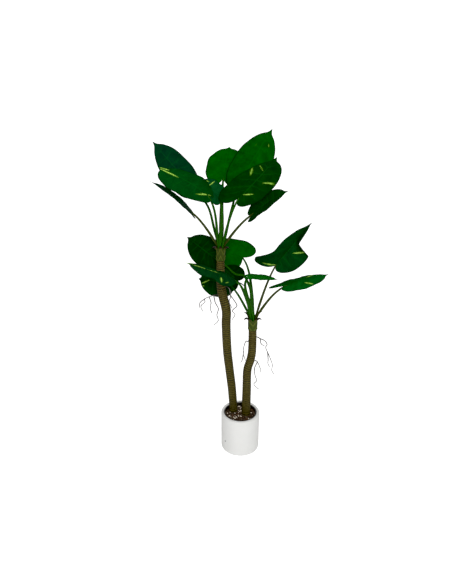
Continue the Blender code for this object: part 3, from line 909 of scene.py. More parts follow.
def cane_radius(crown: Crown, heights: np.ndarray) -> np.ndarray:
    """Find the radius of a cane at each height.

    Args:
        crown: which cane.
        heights: the heights.

    Returns:
        One radius a height, leaf scars left out.
    """
    line = through_knots(CANE_GIRTH[crown], CANE_PLACES)
    return CANE_RADIUS * np.interp(heights, line[:, 0], line[:, 1])


def cane_centre(crown: Crown, heights: np.ndarray) -> np.ndarray:
    """Find the centre of a cane at each height.

    Args:
        crown: which cane.
        heights: the heights.

    Returns:
        One point a row.
    """
    line = through_knots(CANE_KNOTS[crown], CANE_PLACES)
    across = np.interp(heights, line[:, 0], line[:, 1])
    return np.stack([across, np.full_like(across, CANE_DEPTH[crown]), np.asarray(heights, float)], 1)


@dataclass(frozen=True)
class LumpKind:
    """One kind of loose lump: its finish's number, how many there are, its half length, and its shape."""

    slot: int
    number: int
    size: float
    shape: tuple[float, float, float]


@dataclass
class SoilBed:
    """The potting mix: a crumbly mound inside the liner, strewn with bark and pale grit."""

    edge: float = 0.0686
    foot: float = 0.0149
    top: float = 0.1610
    mound: float = 0.0035
    roughness: float = 0.0014
    clods: Relief = Relief(0.0011, 7.0)
    crumble: Relief = Relief(0.0007, 3.0, 5.0)
    rings: int = 46
    sides: int = 180
    mound_radius: float = 0.0705
    bare_edge: float = 0.0055
    hole: float = 0.0192
    crumbs: LumpKind = LumpKind(0, 420, 0.0008, (1.4, 1.0, 0.8))
    bark_chips: LumpKind = LumpKind(1, 70, 0.0042, (1.3, 0.75, 0.42))
    grit_stones: LumpKind = LumpKind(2, 46, 0.0031, (1.0, 0.85, 0.7))
    lump_rows: int = 4
    lump_columns: int = 7
    mix: BarkPottingMix = BarkPottingMix("damp_bark_potting_mix", "#0D0805", 0.95, 1.45, 0.2)
    bark: BrokenChip = BrokenChip("composted_bark_chips", "#1A100A", 0.85, 1.45, 0.2, pale="#5A4028")
    grit: BrokenChip = BrokenChip("pale_grit", "#A89A84", 0.75, 1.5, 0.3, pale="#EFE6D6")

    def height(self, x: np.ndarray, y: np.ndarray) -> np.ndarray:
        """Give the height of the soil's surface at each place.

        Args:
            x: the places' sideways parts.
            y: the places' parts away from the viewer.

        Returns:
            One height a place.
        """
        radius = np.hypot(x, y)
        angle = np.arctan2(y, x)
        bumps = np.sin(5 * angle + 90 * radius) * np.cos(3 * angle - 210 * radius)
        mound = self.mound * (1 - (radius / self.mound_radius) ** 2)
        return self.top + mound + self.roughness * bumps * np.minimum(1.0, radius / 0.02)

    def surface(self, draft: Draft) -> None:
        """Add the bed itself, crumbly on top and closed below.

        Args:
            draft: the mesh that it joins.
        """
        radius = self.edge * np.arange(1, self.rings + 1) / self.rings
        turn = round_angles(self.sides)
        x = (radius[:, None] * np.cos(turn)).ravel()
        y = (radius[:, None] * np.sin(turn)).ravel()
        flat = np.stack([x, y, np.zeros_like(x)], 1)
        fade = np.repeat(1 - smooth_step(0.97, 1.0, radius / self.edge), self.sides)
        z = self.height(x, y) + fade * (self.clods.at(flat) + self.crumble.at(flat))
        floor = level_ring(turn, self.edge, self.foot)
        middle = np.array([(0.0, 0.0, self.height(np.zeros(1), np.zeros(1))[0]), (0.0, 0.0, self.foot)])
        points = np.concatenate([np.stack([x, y, z], 1), floor, middle])
        faces = [face[::-1] for face in grid_faces(self.rings + 1, self.sides)]
        base = self.rings * self.sides
        for i, j in neighbours(self.sides):
            faces.append((len(points) - 2, i, j))
            faces.append((len(points) - 1, base + j, base + i))
        draft.add(points, faces)

    def lump(self, draft: Draft, place: Vector, size: tuple[float, ...], slot: int, shade: float) -> None:
        """Add one angular lump, turned at random.

        Args:
            draft: the mesh that it joins.
            place: its centre.
            size: half its length, width and height.
            slot: its finish.
            shade: how pale it is, from 0 to 1.
        """
        rows = self.lump_rows
        columns = self.lump_columns
        spots = [(0.0, 0.0, -1.0)]
        for r in range(1, rows):
            lean = math.pi * r / rows
            out = math.sin(lean)
            for i in range(columns):
                turn = 2 * math.pi * (i + 0.5 * (r % 2)) / columns
                spots.append((out * math.cos(turn), out * math.sin(turn), -math.cos(lean)))
        spots.append((0.0, 0.0, 1.0))
        turned_by = Matrix.Rotation(random.uniform(0, 2 * math.pi), 3, "Z")
        tipped_by = Matrix.Rotation(random.uniform(-0.5, 0.5), 3, "X")
        pose = turned_by @ tipped_by
        points = []
        for spot in spots:
            jitter = random.uniform(0.72, 1.12)
            points.append(tuple(place + pose @ Vector([c * s * jitter for c, s in zip(spot, size)])))
        faces = grid_faces(rows - 1, columns, 1)
        last = 1 + (rows - 2) * columns
        for i, j in neighbours(columns):
            faces.append((0, 1 + j, 1 + i))
            faces.append((last + i, last + j, len(points) - 1))
        draft.add(np.array(points), faces, slot, lump_shade=np.full(len(points), shade))

    def strew(self, draft: Draft) -> None:
        """Add the loose lumps: small crumbs, bark and grit, clear of the canes and the liner.

        Args:
            draft: the mesh that they join.
        """
        random.seed(11)
        feet = [cane_centre(crown, np.array([self.top]))[0] for crown in Crown]
        for kind in (self.crumbs, self.bark_chips, self.grit_stones):
            made = 0
            while made < kind.number:
                radius = (self.edge - self.bare_edge) * math.sqrt(random.random())
                angle = random.uniform(0, 2 * math.pi)
                x = radius * math.cos(angle)
                y = radius * math.sin(angle)
                large = kind.size * random.uniform(0.7, 1.3)
                if any(math.hypot(x - foot[0], y - foot[1]) < self.hole + large * 1.5 for foot in feet):
                    continue
                z = float(self.height(np.array([x]), np.array([y]))[0])
                size = tuple(large * share for share in kind.shape)
                place = Vector((x, y, z + size[2] * 0.35))
                self.lump(draft, place, size, kind.slot, random.uniform(0.2, 1.0))
                made += 1

    def build(self) -> None:
        """Make the soil, with a plain hole round each cane."""
        bed = Draft()
        self.surface(bed)
        body = bed.build("potting_mix_bed", [self.mix.material()])
        group = bpy.data.collections.new("cane_holes")
        bpy.context.scene.collection.children.link(group)
        for crown in Crown:
            heights = np.array([CANE_FOOT - 0.001, 0.12, self.top + 0.02])
            cutter = Draft()
            cutter.add(*tube(cane_centre(crown, heights), np.full(3, self.hole), 48))
            shape = cutter.build("hole_" + crown.value, [])
            bpy.context.scene.collection.objects.unlink(shape)
            group.objects.link(shape)
        cut = body.modifiers.new("cane_holes", "BOOLEAN")
        cut.operation = "DIFFERENCE"
        cut.operand_type = "COLLECTION"
        cut.collection = group
        cut.solver = "EXACT"
        bpy.context.view_layer.update()
        graph = bpy.context.evaluated_depsgraph_get()
        mesh = bpy.data.meshes.new_from_object(body.evaluated_get(graph))
        body.modifiers.clear()
        body.data = mesh
        for shape in list(group.objects):
            bpy.data.objects.remove(shape, do_unlink=True)
        bpy.data.collections.remove(group)
        points = np.empty(len(mesh.vertices) * 3)
        mesh.vertices.foreach_get("co", points)
        faces = [tuple(polygon.vertices) for polygon in mesh.polygons]
        draft = Draft()
        draft.add(points.reshape(-1, 3), faces)
        bpy.data.objects.remove(body, do_unlink=True)
        self.strew(draft)
        piece = draft.build("potting_mix", [self.mix.material(), self.bark.material(), self.grit.material()])
        seat_piece(piece, "soil_dark", "soil")


@dataclass
class Cane:
    """One cane: a stout stem with a groove and a worn lip at each old leaf scar."""

    crown: Crown
    scar_pitch: float = 0.0090
    row_height: float = 0.0014
    sides: int = 60
    seed: float = 0.0
    flatness: float = 0.55
    pace: float = 0.6
    pace_per_metre: float = 30.0
    inset: float = 0.0002
    sway: Relief = Relief(0.22, 22.0)
    shiver: Relief = Relief(0.10, 8.0, 3.0)
    tooth: Relief = Relief(0.00022, 5.0, 7.0)
    dents: Relief = Relief(0.0003, 40.0, 9.0)
    finish: RingedCaneBark = RingedCaneBark("ringed_cane_bark", "#4A4216", 0.72, 1.45, 0.15)

    def build(self) -> None:
        """Make the cane."""
        top = CANE_TOP[self.crown]
        rows = int((top - CANE_FOOT) / self.row_height) + 1
        heights = np.linspace(CANE_FOOT, top, rows)
        line = cane_centre(self.crown, heights)
        grid = (line[:, None, :] + level_ring(round_angles(self.sides))[None] * CANE_RADIUS).reshape(-1, 3)
        wander = self.sway.at(grid, self.seed) + self.shiver.at(grid, self.seed)
        level = np.repeat(heights, self.sides)
        beat = [noise.noise((h * self.pace_per_metre, self.seed, 0.0)) for h in heights]
        wander += np.repeat(self.pace * np.array(beat), self.sides)
        phase = ((level - CANE_FOOT) / self.scar_pitch + wander) % 1.0
        bulge = np.abs(np.sin(np.pi * phase)) ** self.flatness
        bare = cane_radius(self.crown, level)
        reach = bare + CANE_RELIEF * (1.15 * bulge - 0.45) + self.tooth.at(grid, self.seed)
        reach += self.dents.at(grid, self.seed) - self.inset
        reach = np.minimum(reach, bare + CANE_RELIEF)
        points, faces = tube(line, reach.reshape(rows, self.sides), self.sides)
        points[-self.sides:, 2] = top
        points[:self.sides, 2] = CANE_FOOT
        draft = Draft()
        draft.add(points, faces, ring_share=phase)
        piece = draft.build("ringed_cane_" + self.crown.value, [self.finish.material()])
        seat_piece(piece, "cane_bark", "cane_" + self.crown.value)


@dataclass(frozen=True)
class SheathScale:
    """One scale leaf of a sheath: its bearing, its notch's height, and its tip's length and bend."""

    bearing: float
    notch: float
    length: float
    bend: float


@dataclass
class Sheath:
    """The papery sheath round a cane's top: overlapping scale leaves whose dark tips bend outwards."""

    crown: Crown
    below: float
    scales: tuple[SheathScale, ...]
    gap: float = 0.0006
    wall: float = 0.0014
    step: float = 0.0014
    rolled_margin: float = 0.0042
    thinnest: float = 0.0004
    layers: float = 1.6
    slant: float = 0.85
    lip: float = 0.10
    crinkle: Relief = Relief(0.00025, 3.0, 4.0)
    columns: int = 30
    rows: int = 40
    tip_rows: int = 26
    finish: DriedScaleLeaf = DriedScaleLeaf("dried_scale_leaves", "#2E3A0C", 0.62, 1.45, 0.15)

    def around(self) -> np.ndarray:
        """List the sheath's columns.

        Returns:
            Bearing, height of the rim, tip length, full tip length, bend, and closeness to a scale's middle.
        """
        made = []
        for index, scale in enumerate(self.scales):
            after = self.scales[(index + 1) % len(self.scales)]
            span = (after.bearing - scale.bearing) % 360
            for k in range(self.columns):
                f = k / self.columns
                near = scale if f < 0.5 else after
                share = abs(f - 0.5) * 2
                rim = scale.notch + (after.notch - scale.notch) * f
                bearing = math.radians(scale.bearing + span * f)
                made.append((bearing, rim, near.length * share**1.5, near.length, near.bend, share))
        return np.array(made)

    def build(self) -> None:
        """Make the sheath."""
        top = CANE_TOP[self.crown]
        angle, rim, tip, full, bend, share = self.around().T
        sides = len(angle)
        way = level_ring(angle)
        outer = []
        lining = []
        marks = []
        for r in range(self.rows + self.tip_rows + 1):
            rise = min(r / self.rows, 1.0)
            past = max(r - self.rows, 0) / self.tip_rows
            curve = np.radians(bend) / full
            lean = tip * past * curve
            height = top - self.below + (self.below + rim) * rise + np.sin(lean) / curve
            out = (1 - np.cos(lean)) / curve
            centre = cane_centre(self.crown, np.minimum(height, top - 0.001))
            centre[:, 2] = height
            inner = cane_radius(self.crown, np.minimum(height, top)) + CANE_RELIEF + self.gap
            spot = centre + way * (inner + out)[:, None]
            face = way * np.cos(lean)[:, None]
            face[:, 2] = -np.sin(lean)
            phase = (self.layers * rise * (1 if r < self.rows else 0.999) - self.slant * share + 2.0) % 1.0
            lip = np.where(phase > 1 - self.lip, (1 - phase) / self.lip, phase / (1 - self.lip))
            thick = self.wall * 0.55 + self.step * lip * (1 - past)
            thick = thick + self.crinkle.at(spot) * (1 - past)
            thick = thick + self.rolled_margin * math.sin(math.pi * past**0.6) * share
            if r == 0:
                thick = np.full(sides, self.wall * 0.5)
            outer.append(spot + face * np.maximum(thick, self.thinnest)[:, None])
            lining.append(spot)
            marks.append(np.stack([phase, past * (tip / full), np.zeros(sides)], 1))
        rows = len(outer)
        faces = grid_faces(rows, sides)
        back = rows * sides
        faces += [face[::-1] for face in grid_faces(rows, sides, back)]
        last = (rows - 1) * sides
        for i, j in neighbours(sides):
            faces.append((j, i, back + i, back + j))
            faces.append((last + i, last + j, back + last + j, back + last + i))
        mark = np.concatenate(marks)
        draft = Draft()
        draft.add(np.concatenate(outer + lining), faces, scale_place=np.concatenate([mark, mark]))
        piece = draft.build("scale_sheath_" + self.crown.value, [self.finish.material()])
        seat_piece(piece, "sheath_papery", "sheath_" + self.crown.value)


SHEATHS = (
    Sheath(Crown.TALL, 0.026, (SheathScale(195, 0.019, 0.030, 160), SheathScale(270, 0.026, 0.014, 40),
                               SheathScale(345, 0.019, 0.028, 160), SheathScale(80, 0.030, 0.026, 60))),
    Sheath(Crown.SHORT, 0.006, (SheathScale(205, 0.038, 0.034, 150), SheathScale(335, 0.038, 0.030, 150),
                                SheathScale(22, 0.044, 0.040, 95), SheathScale(150, 0.042, 0.036, 105))),
)


@dataclass(frozen=True)
class Fleck:
    """A cream fleck on a leaf, as a stroke: its ends, in shares of length and half width, and its width."""

    start: tuple[float, float]
    end: tuple[float, float]
    width_mm: float


@dataclass(frozen=True)
class LeafPose:
    """Where one leaf sits: the top of its stalk, the way its tip points, and how its blade bends."""

    name: str
    crown: Crown
    seat: float
    joint: tuple[float, float, float]
    heading: float
    rise: float
    roll: float
    length: float
    width: float
    arch: float = 25.0
    fold: float = 14.0
    curl: float = 0.10
    wave: float = 0.005
    twist: float = 0.0
    close: tuple[float, float] = (0.0, 0.0)
    close_from: tuple[float, float] = (0.0, 0.0)
    close_rate: tuple[float, float] = (7.0, 7.0)
    half: tuple[float, float] = (1.0, 1.0)
    skew: float = 0.0
    lobe: tuple[float, float] = (1.0, 1.0)
    stout: float = 1.0
    woody: bool = False
    via: tuple[tuple[float, float, float], ...] = ()
    tone: Tone = Tone.BRIGHT
    # Each leaf's own greens; the darker greens of leaves that sit in shade carry painted shade as well as
    # their own deeper tone.
    green: str = "#06400A"
    light: str = "#0B5A0C"
    flecks: tuple[Fleck, ...] = ()


# Half a leaf's outline: shares of its length, and of its half width
HALF_OUTLINE = np.array((
    (0.000, 0.000), (-0.090, 0.070), (-0.175, 0.240), (-0.190, 0.500), (-0.110, 0.760), (0.040, 0.940),
    (0.200, 1.000), (0.380, 0.970), (0.560, 0.870), (0.715, 0.690), (0.840, 0.410), (0.915, 0.130),
    (1.000, 0.000),
))


@dataclass
class Leaf:
    """One leaf: a heart-shaped blade with sunken veins, and the stalk that runs on as its midrib."""

    pose: LeafPose
    vein_pairs: int = 9
    vein_sweep: float = 0.55
    vein_width: float = 0.05
    crowding: float = 1.12
    columns: int = 108
    rows: int = 22
    thickness: float = 0.0009
    edge_thickness: float = 0.0005
    vein_depth: float = 0.0005
    puff: float = 0.0006
    ripple: float = 0.0005
    dimples: Relief = Relief(0.0005, 14.0)
    furrow_depth: float = 0.0009
    furrow_width: float = 0.0022
    stalk_foot_radius: float = 0.0036
    stalk_wide_radius: float = 0.0054
    stalk_top_radius: float = 0.0034
    midrib_end_radius: float = 0.0006
    midrib_reach: float = 0.93
    stalk_sides: int = 14
    stalk_steps: int = 56
    seat_ring: float = 0.0133
    seat_gap: float = 0.0003
    stalk_lean: float = 0.75
    stalk_bow: float = 0.45
    stalk_channel: float = 0.13
    knuckle: float = 0.14
    knuckle_length: float = 0.009

    def axes(self) -> tuple[np.ndarray, np.ndarray, np.ndarray]:
        """Find the leaf's own directions.

        Returns:
            Along its midrib, to its left, and out of its upper face.
        """
        heading = math.radians(self.pose.heading)
        rise = math.radians(self.pose.rise)
        out = math.cos(rise)
        along = Vector((math.cos(heading) * out, math.sin(heading) * out, math.sin(rise)))
        level = Vector((-math.sin(heading), math.cos(heading), 0.0))
        left = Matrix.Rotation(math.radians(self.pose.roll), 3, along) @ level
        return np.array(along), np.array(left), np.array(along.cross(left))

    def surface(self, along: np.ndarray, across: np.ndarray) -> np.ndarray:
        """Bend flat places of the blade into space.

        Args:
            along: shares of the blade's length.
            across: metres to the left of the midrib.

        Returns:
            One point a row.
        """
        pose = self.pose
        bend = math.radians(pose.arch)
        slope = bend * (0.5 - along)
        x = pose.length / bend * (math.sin(bend / 2) - np.sin(slope))
        z = pose.length / bend * (np.cos(slope) - math.cos(bend / 2))
        half = pose.width / 2
        share = np.abs(across) / half
        side = np.where(across >= 0, 1.0, -1.0)
        far = side > 0
        started = along - np.where(far, *pose.close_from)
        shut = smooth_step(0.0, 1.0, started * np.where(far, *pose.close_rate))
        fold = np.radians(pose.fold + np.where(far, *pose.close) * shut)
        out = np.abs(across) * np.cos(fold)
        lift = np.abs(across) * np.sin(fold) - pose.curl * half * share**2
        lift = lift + pose.wave * share**2 * np.sin(2 * np.pi * (2.2 * along + 0.2 * side))
        turns = 6.3 * along + 0.37 * side + pose.seat / 60.0
        lift = lift + self.ripple * share**3 * np.sin(2 * np.pi * turns)
        twist = math.radians(pose.twist) * along
        y = side * out * np.cos(twist) - lift * np.sin(twist)
        lift = side * out * np.sin(twist) + lift * np.cos(twist)
        x = x - lift * np.sin(slope)
        z = z + lift * np.cos(slope)
        axis, left, up = self.axes()
        return np.array(pose.joint) + x[:, None] * axis + y[:, None] * left + z[:, None] * up

    def fleck_mark(self, along: np.ndarray, across: np.ndarray) -> np.ndarray:
        """Say how far inside a cream fleck each place lies.

        Args:
            along: shares of the blade's length.
            across: metres to the left of the midrib.

        Returns:
            1 on a fleck's middle line, 0 at its edge, and below 0 outside it.
        """
        size = np.array((self.pose.length, self.pose.width / 2))
        place = np.stack([along * self.pose.length, across], 1)
        best = np.full(len(along), -2.0)
        for fleck in self.pose.flecks:
            start = np.array(fleck.start) * size
            way = np.array(fleck.end) * size - start
            share = np.clip((place - start) @ way / way.dot(way), 0.0, 1.0)
            away = np.linalg.norm(place - start - share[:, None] * way, axis=1)
            width = fleck.width_mm / 2000 * (0.35 + 0.65 * np.sin(np.pi * np.clip(share, 0.02, 0.98)))
            best = np.maximum(best, 1 - away / width)
        return best

    def blade(self, draft: Draft) -> None:
        """Add the blade: two faces a leaf's thickness apart, joined round the edge.

        Args:
            draft: the mesh that it joins.
        """
        pose = self.pose
        across_count = 2 * self.rows + 1
        t = np.repeat(np.arange(1, self.columns) / self.columns, across_count)
        s = np.tile(np.linspace(-1.0, 1.0, across_count), self.columns - 1)
        s = np.sign(s) * np.abs(s) ** self.crowding
        edge = through_knots(HALF_OUTLINE, t)
        start = t ** (1.0 + self.vein_sweep)
        lobe = np.where(s > 0, *pose.lobe)
        reach = np.maximum(edge[:, 0], 0.0) + np.minimum(edge[:, 0], 0.0) * lobe
        reach = reach - np.where(s > 0, 1.0, -1.0) * pose.skew * edge[:, 1]
        along = start + (reach - start) * np.abs(s)
        across = s * pose.width / 2 * edge[:, 1] * np.where(s > 0, *pose.half)
        along = np.concatenate([along, (0.0, 1.0)])
        across = np.concatenate([across, (0.0, 0.0)])
        t = np.concatenate([t, (0.0, 1.0)])
        s = np.concatenate([s, (0.0, 0.0)])
        middle = self.surface(along, across)
        delta = 0.002
        forward = self.surface(along + delta, across) - self.surface(along - delta, across)
        sideways = self.surface(along, across + delta * 0.1) - self.surface(along, across - delta * 0.1)
        normal = np.cross(forward, sideways)
        normal /= np.linalg.norm(normal, axis=1)[:, None]
        off = np.abs((t * self.vein_pairs) % 1.0 - 0.5)
        span = np.sin(np.pi * np.clip(np.abs(s), 0, 1)) * smooth_step(0.0, 0.12, t)
        span = span * (1 - smooth_step(0.86, 1.0, t))
        relief = self.puff * span * smooth_step(0.0, 0.5, off)
        relief -= self.vein_depth * span * np.exp(-((off / self.vein_width) ** 2))
        furrow = np.exp(-((np.abs(across) / self.furrow_width) ** 2)) * (1 - smooth_step(0.9, 1.0, t))
        relief -= self.furrow_depth * furrow
        flat = np.stack([along * pose.length, across, np.zeros_like(along)], 1)
        relief += self.dimples.at(flat, pose.seat)
        thin = smooth_step(0.75, 1.0, np.abs(s))
        half = (self.thickness * (1 - thin) + self.edge_thickness * thin) / 2
        upper = middle + normal * (relief + half)[:, None]
        lower = middle + normal * (relief - half)[:, None]
        body = self.columns - 1
        faces = grid_faces(body, across_count, 0, closed=False)
        base = body * across_count
        tip = base + 1
        last = (body - 1) * across_count
        for j in range(across_count - 1):
            faces.append((base, j + 1, j))
            faces.append((tip, last + j, last + j + 1))
        upper_faces = [face[::-1] for face in faces]
        count = len(middle)
        lower_faces = [tuple(i + count for i in face) for face in faces]
        left = [base] + [r * across_count + across_count - 1 for r in range(body)] + [tip]
        right = [base] + [r * across_count for r in range(body)] + [tip]
        rim = [(a, b, b + count, a + count) for a, b in zip(left, left[1:])]
        rim += [(b, a, a + count, b + count) for a, b in zip(right, right[1:])]
        place = np.stack([t, s, np.zeros_like(t)], 1)
        fleck = self.fleck_mark(along, across)
        slots = [0] * len(upper_faces) + [1] * len(lower_faces) + [0] * len(rim)
        draft.add(np.concatenate([upper, lower]), upper_faces + lower_faces + rim, slots=slots,
                  blade_place=np.concatenate([place, place]), blade_flat=np.concatenate([flat, flat]),
                  fleck=np.concatenate([fleck, fleck]))

    def stalk(self, draft: Draft) -> None:
        """Add the stalk, from its seat in the crown to the blade, and on under the blade as the midrib.

        Args:
            draft: the mesh that it joins.
        """
        pose = self.pose
        top = CANE_TOP[pose.crown]
        centre = cane_centre(pose.crown, np.array([top]))[0]
        seat = math.radians(pose.seat)
        ring = self.seat_ring * cane_radius(pose.crown, np.array([top]))[0] / CANE_RADIUS
        foot = centre + np.array((ring * math.cos(seat), ring * math.sin(seat), self.seat_gap))
        axis, _, up = self.axes()
        joint = self.surface(np.zeros(1), np.zeros(1))[0] - up * (self.stalk_top_radius - 0.0004)
        clear = foot + np.array((0.0, 0.0, STALK_RISE[pose.crown]))
        run = joint - clear
        reach = np.linalg.norm(run)
        lean = np.array((run[0], run[1], 0.0)) * (self.stalk_lean / run[2])
        leave = lean + np.array((0.0, 0.0, 1.0))
        leave *= reach * 0.9 / np.linalg.norm(leave)
        arrive = run / reach * self.stalk_bow + (axis - up * 0.35) * (1 - self.stalk_bow)
        arrive *= reach * 0.8 / np.linalg.norm(arrive)
        f = np.linspace(0.0, 1.0, self.stalk_steps + 1)
        h = f[:, None]
        if pose.via:
            free = through_knots(np.array([clear, *pose.via, joint]), f)
        else:
            free = (clear * (2 * h**3 - 3 * h**2 + 1) + leave * (h**3 - 2 * h**2 + h)
                    + joint * (3 * h**2 - 2 * h**3) + arrive * (h**3 - h**2))
        rise = foot + np.linspace(0.0, 1.0, 7)[:-1, None] * (clear - foot)
        broad = self.stalk_wide_radius * pose.stout
        wide = self.stalk_foot_radius + (broad - self.stalk_foot_radius) * np.minimum(1.0, f * 4.0)
        shrink = wide + (self.stalk_top_radius - broad) * np.clip((f - 0.25) / 0.75, 0.0, 1.0)
        knuckle = 1.0 + self.knuckle * np.exp(-(((1 - f) * reach / self.knuckle_length) ** 2))
        s = np.linspace(0.0, self.midrib_reach, 31)[1:]
        slim = self.midrib_end_radius - self.stalk_top_radius
        ribs = self.stalk_top_radius + slim * (s / self.midrib_reach) ** 0.6
        under = self.surface(s, np.zeros_like(s)) - up * (ribs + 0.0007)[:, None]
        line = np.concatenate([rise, free, under])
        radii = np.concatenate([np.full(6, self.stalk_foot_radius), shrink * knuckle, ribs])
        turn = round_angles(self.stalk_sides)
        channel = 1.0 - self.stalk_channel * np.clip(np.cos(turn - math.pi / 2), 0.0, 1.0) ** 4
        points, faces = tube(line, radii[:, None] * channel[None, :], self.stalk_sides)
        share = np.concatenate([np.zeros(6), f, np.ones(len(s))])
        points[:self.stalk_sides, 2] = foot[2]
        draft.add(points, faces, 2, stalk_share=np.repeat(share, self.stalk_sides))

    def build(self, back: bpy.types.Material, skin: bpy.types.Material) -> None:
        """Make the leaf.

        Args:
            back: the finish of its under face.
            skin: the finish of its stalk.
        """
        pose = self.pose
        face = WaxyLeafFace("waxy_face_" + pose.name, pose.green, 0.66, 1.42, 0.008, light=pose.light,
                            vein_pairs=self.vein_pairs)
        draft = Draft()
        self.blade(draft)
        self.stalk(draft)
        piece = draft.build("pothos_" + pose.name, [face.material(), back, skin])
        seat_piece(piece, pose.tone.value, pose.name)


STALK_RISE = {Crown.TALL: 0.0300, Crown.SHORT: 0.0480}

# Leaves that sit in shade are given darker greens and lights: partly their own deeper tone, partly painted
# shade.
LEAVES = (
    LeafPose("leaf_tall_back_left", Crown.TALL, 140, (-0.206, 0.060, 1.172), 163, 47.3, -62, 0.213, 0.124,
             fold=-20, skew=0.04, via=((-0.111, 0.037, 1.008), (-0.137, 0.045, 1.097)),
             tone=Tone.DEEP, green="#092618", light="#0C361C"),
    LeafPose("leaf_tall_front_left", Crown.TALL, 225, (-0.136, -0.058, 1.160), 192, 31, -58, 0.196, 0.110,
             fold=-8, skew=-0.30, lobe=(1.3, 1.9), green="#082E0F", light="#0C3D12",
             flecks=(Fleck((0.97, 0.02), (0.80, -0.08), 4.0), Fleck((0.95, 0.10), (0.60, 0.07), 6.0),
                     Fleck((0.18, 0.42), (-0.02, 0.06), 5.5), Fleck((0.12, 0.22), (-0.12, -0.10), 3.5))),
    LeafPose("leaf_tall_front_small", Crown.TALL, 262, (-0.090, -0.030, 1.138), 160, 47, -46, 0.094, 0.078,
             stout=1.7, tone=Tone.DEEP, green="#0A2E16", light="#10411C",
             flecks=(Fleck((0.88, 0.16), (0.70, 0.30), 3.5), Fleck((0.62, 0.03), (0.60, -0.66), 4.5),
                     Fleck((0.84, -0.10), (0.72, -0.24), 3.0))),
    LeafPose("leaf_tall_top", Crown.TALL, 80, (-0.074, 0.085, 1.194), 78, 42, 0, 0.157, 0.150,
             stout=1.9, green="#083907", light="#0B5009"),
    LeafPose("leaf_tall_top_right", Crown.TALL, 15, (-0.008, 0.010, 1.193), 31, 53, 45, 0.228, 0.150,
             fold=-10, green="#093208", light="#0C4B09",
             flecks=(Fleck((0.75, -0.22), (0.69, -0.36), 3.0), Fleck((0.68, 0.26), (0.58, 0.32), 2.0))),
    LeafPose("leaf_tall_front_right", Crown.TALL, 300, (-0.018, -0.080, 1.147), 352, 48, 98, 0.198, 0.130,
             fold=2, skew=0.24, lobe=(0.95, 1.05), tone=Tone.DEEP, green="#09210B", light="#0C320A",
             flecks=(Fleck((0.50, -0.34), (0.64, -0.84), 5.5), Fleck((0.57, -0.62), (0.63, -0.93), 4.5),
                     Fleck((0.11, -0.03), (0.25, -0.42), 5.0), Fleck((0.58, 0.61), (0.46, 0.43), 8.0),
                     Fleck((0.70, 0.44), (0.66, 0.06), 4.0))),
    LeafPose("leaf_tall_low_right", Crown.TALL, 337, (0.038, -0.050, 1.087), 341, 35, 32, 0.155, 0.106,
             wave=0.002, woody=True, green="#082209", light="#0A320C"),
    LeafPose("leaf_tall_low_left", Crown.TALL, 184, (-0.201, -0.010, 1.089), 188, 38, -2.5, 0.180, 0.120,
             fold=0, curl=0.0, wave=0.0006, woody=True, tone=Tone.DEEP, green="#0B2214", light="#0E321B"),
    LeafPose("leaf_short_back_left", Crown.SHORT, 192, (-0.109, 0.085, 0.868), 172, 37, -75, 0.145, 0.132,
             tone=Tone.DEEP, green="#081C09", light="#0A2B09",
             via=((0.036, 0.002, 0.750), (0.020, 0.024, 0.795), (0.006, 0.034, 0.812), (-0.027, 0.048, 0.814),
                  (-0.064, 0.068, 0.841))),
    LeafPose("leaf_short_behind", Crown.SHORT, 65, (0.004, 0.150, 0.850), 169, 13, -82, 0.184, 0.154,
             skew=-0.12, lobe=(0.3, 1.1), stout=1.3, green="#093C08", light="#0B510A"),
    LeafPose("leaf_short_front_left", Crown.SHORT, 232, (-0.025, -0.060, 0.823), 186, 23, -10, 0.211, 0.100,
             fold=-14, skew=-0.12, lobe=(0.2, 1.0), tone=Tone.DEEP, green="#0C2612", light="#113C19",
             flecks=(Fleck((0.99, 0.02), (0.86, -0.06), 9.0), Fleck((0.88, 0.10), (0.62, 0.18), 4.0),
                     Fleck((0.60, 0.20), (0.34, 0.12), 3.0), Fleck((0.31, 0.44), (0.28, 0.80), 11.0),
                     Fleck((0.21, 0.74), (0.14, 0.54), 4.5))),
    LeafPose("leaf_short_low_left", Crown.SHORT, 155, (-0.057, 0.076, 0.762), 164, 3, -76, 0.130, 0.130,
             tone=Tone.DEEP, green="#0B240F", light="#0D350F",
             flecks=(Fleck((0.86, 0.28), (0.61, -0.04), 7.0), Fleck((0.82, 0.44), (0.73, 0.39), 4.5))),
    LeafPose("leaf_short_back_small", Crown.SHORT, 110, (-0.018, 0.110, 0.761), 172, 31, -80, 0.090, 0.124,
             tone=Tone.DEEP, green="#081A09", light="#0A270A"),
    LeafPose("leaf_short_level", Crown.SHORT, 277, (0.028, -0.035, 0.831), 351, -3, -6, 0.112, 0.090,
             arch=8, fold=4, curl=0.03, wave=0.001, stout=1.4, green="#125013", light="#176718"),
    LeafPose("leaf_short_right", Crown.SHORT, 20, (0.138, 0.045, 0.852), 347, 54, 82, 0.230, 0.184,
             fold=4, close=(67, 54), close_from=(-0.27, 0.54), close_rate=(1.6, 10.0), twist=-30, skew=0.22,
             half=(0.98, 0.87), lobe=(0.42, 0.8), woody=True, green="#092A13", light="#0B3D15",
             flecks=(Fleck((-0.11, 0.56), (0.00, 0.04), 9.5), Fleck((0.39, -0.23), (0.57, -0.66), 7.5))),
    LeafPose("leaf_short_low_right", Crown.SHORT, 325, (0.172, -0.060, 0.806), 354, 18, 14, 0.165, 0.088,
             arch=3, fold=-5, wave=0.0015, skew=0.10, lobe=(2.1, 0.9), woody=True,
             green="#0B3A10", light="#0E5218",
             flecks=(Fleck((0.48, 0.40), (0.66, 0.66), 8.0), Fleck((0.42, -0.30), (0.60, -0.72), 7.5))),
)


# The knots of a root's centreline
Knots = tuple[tuple[float, float, float], ...]


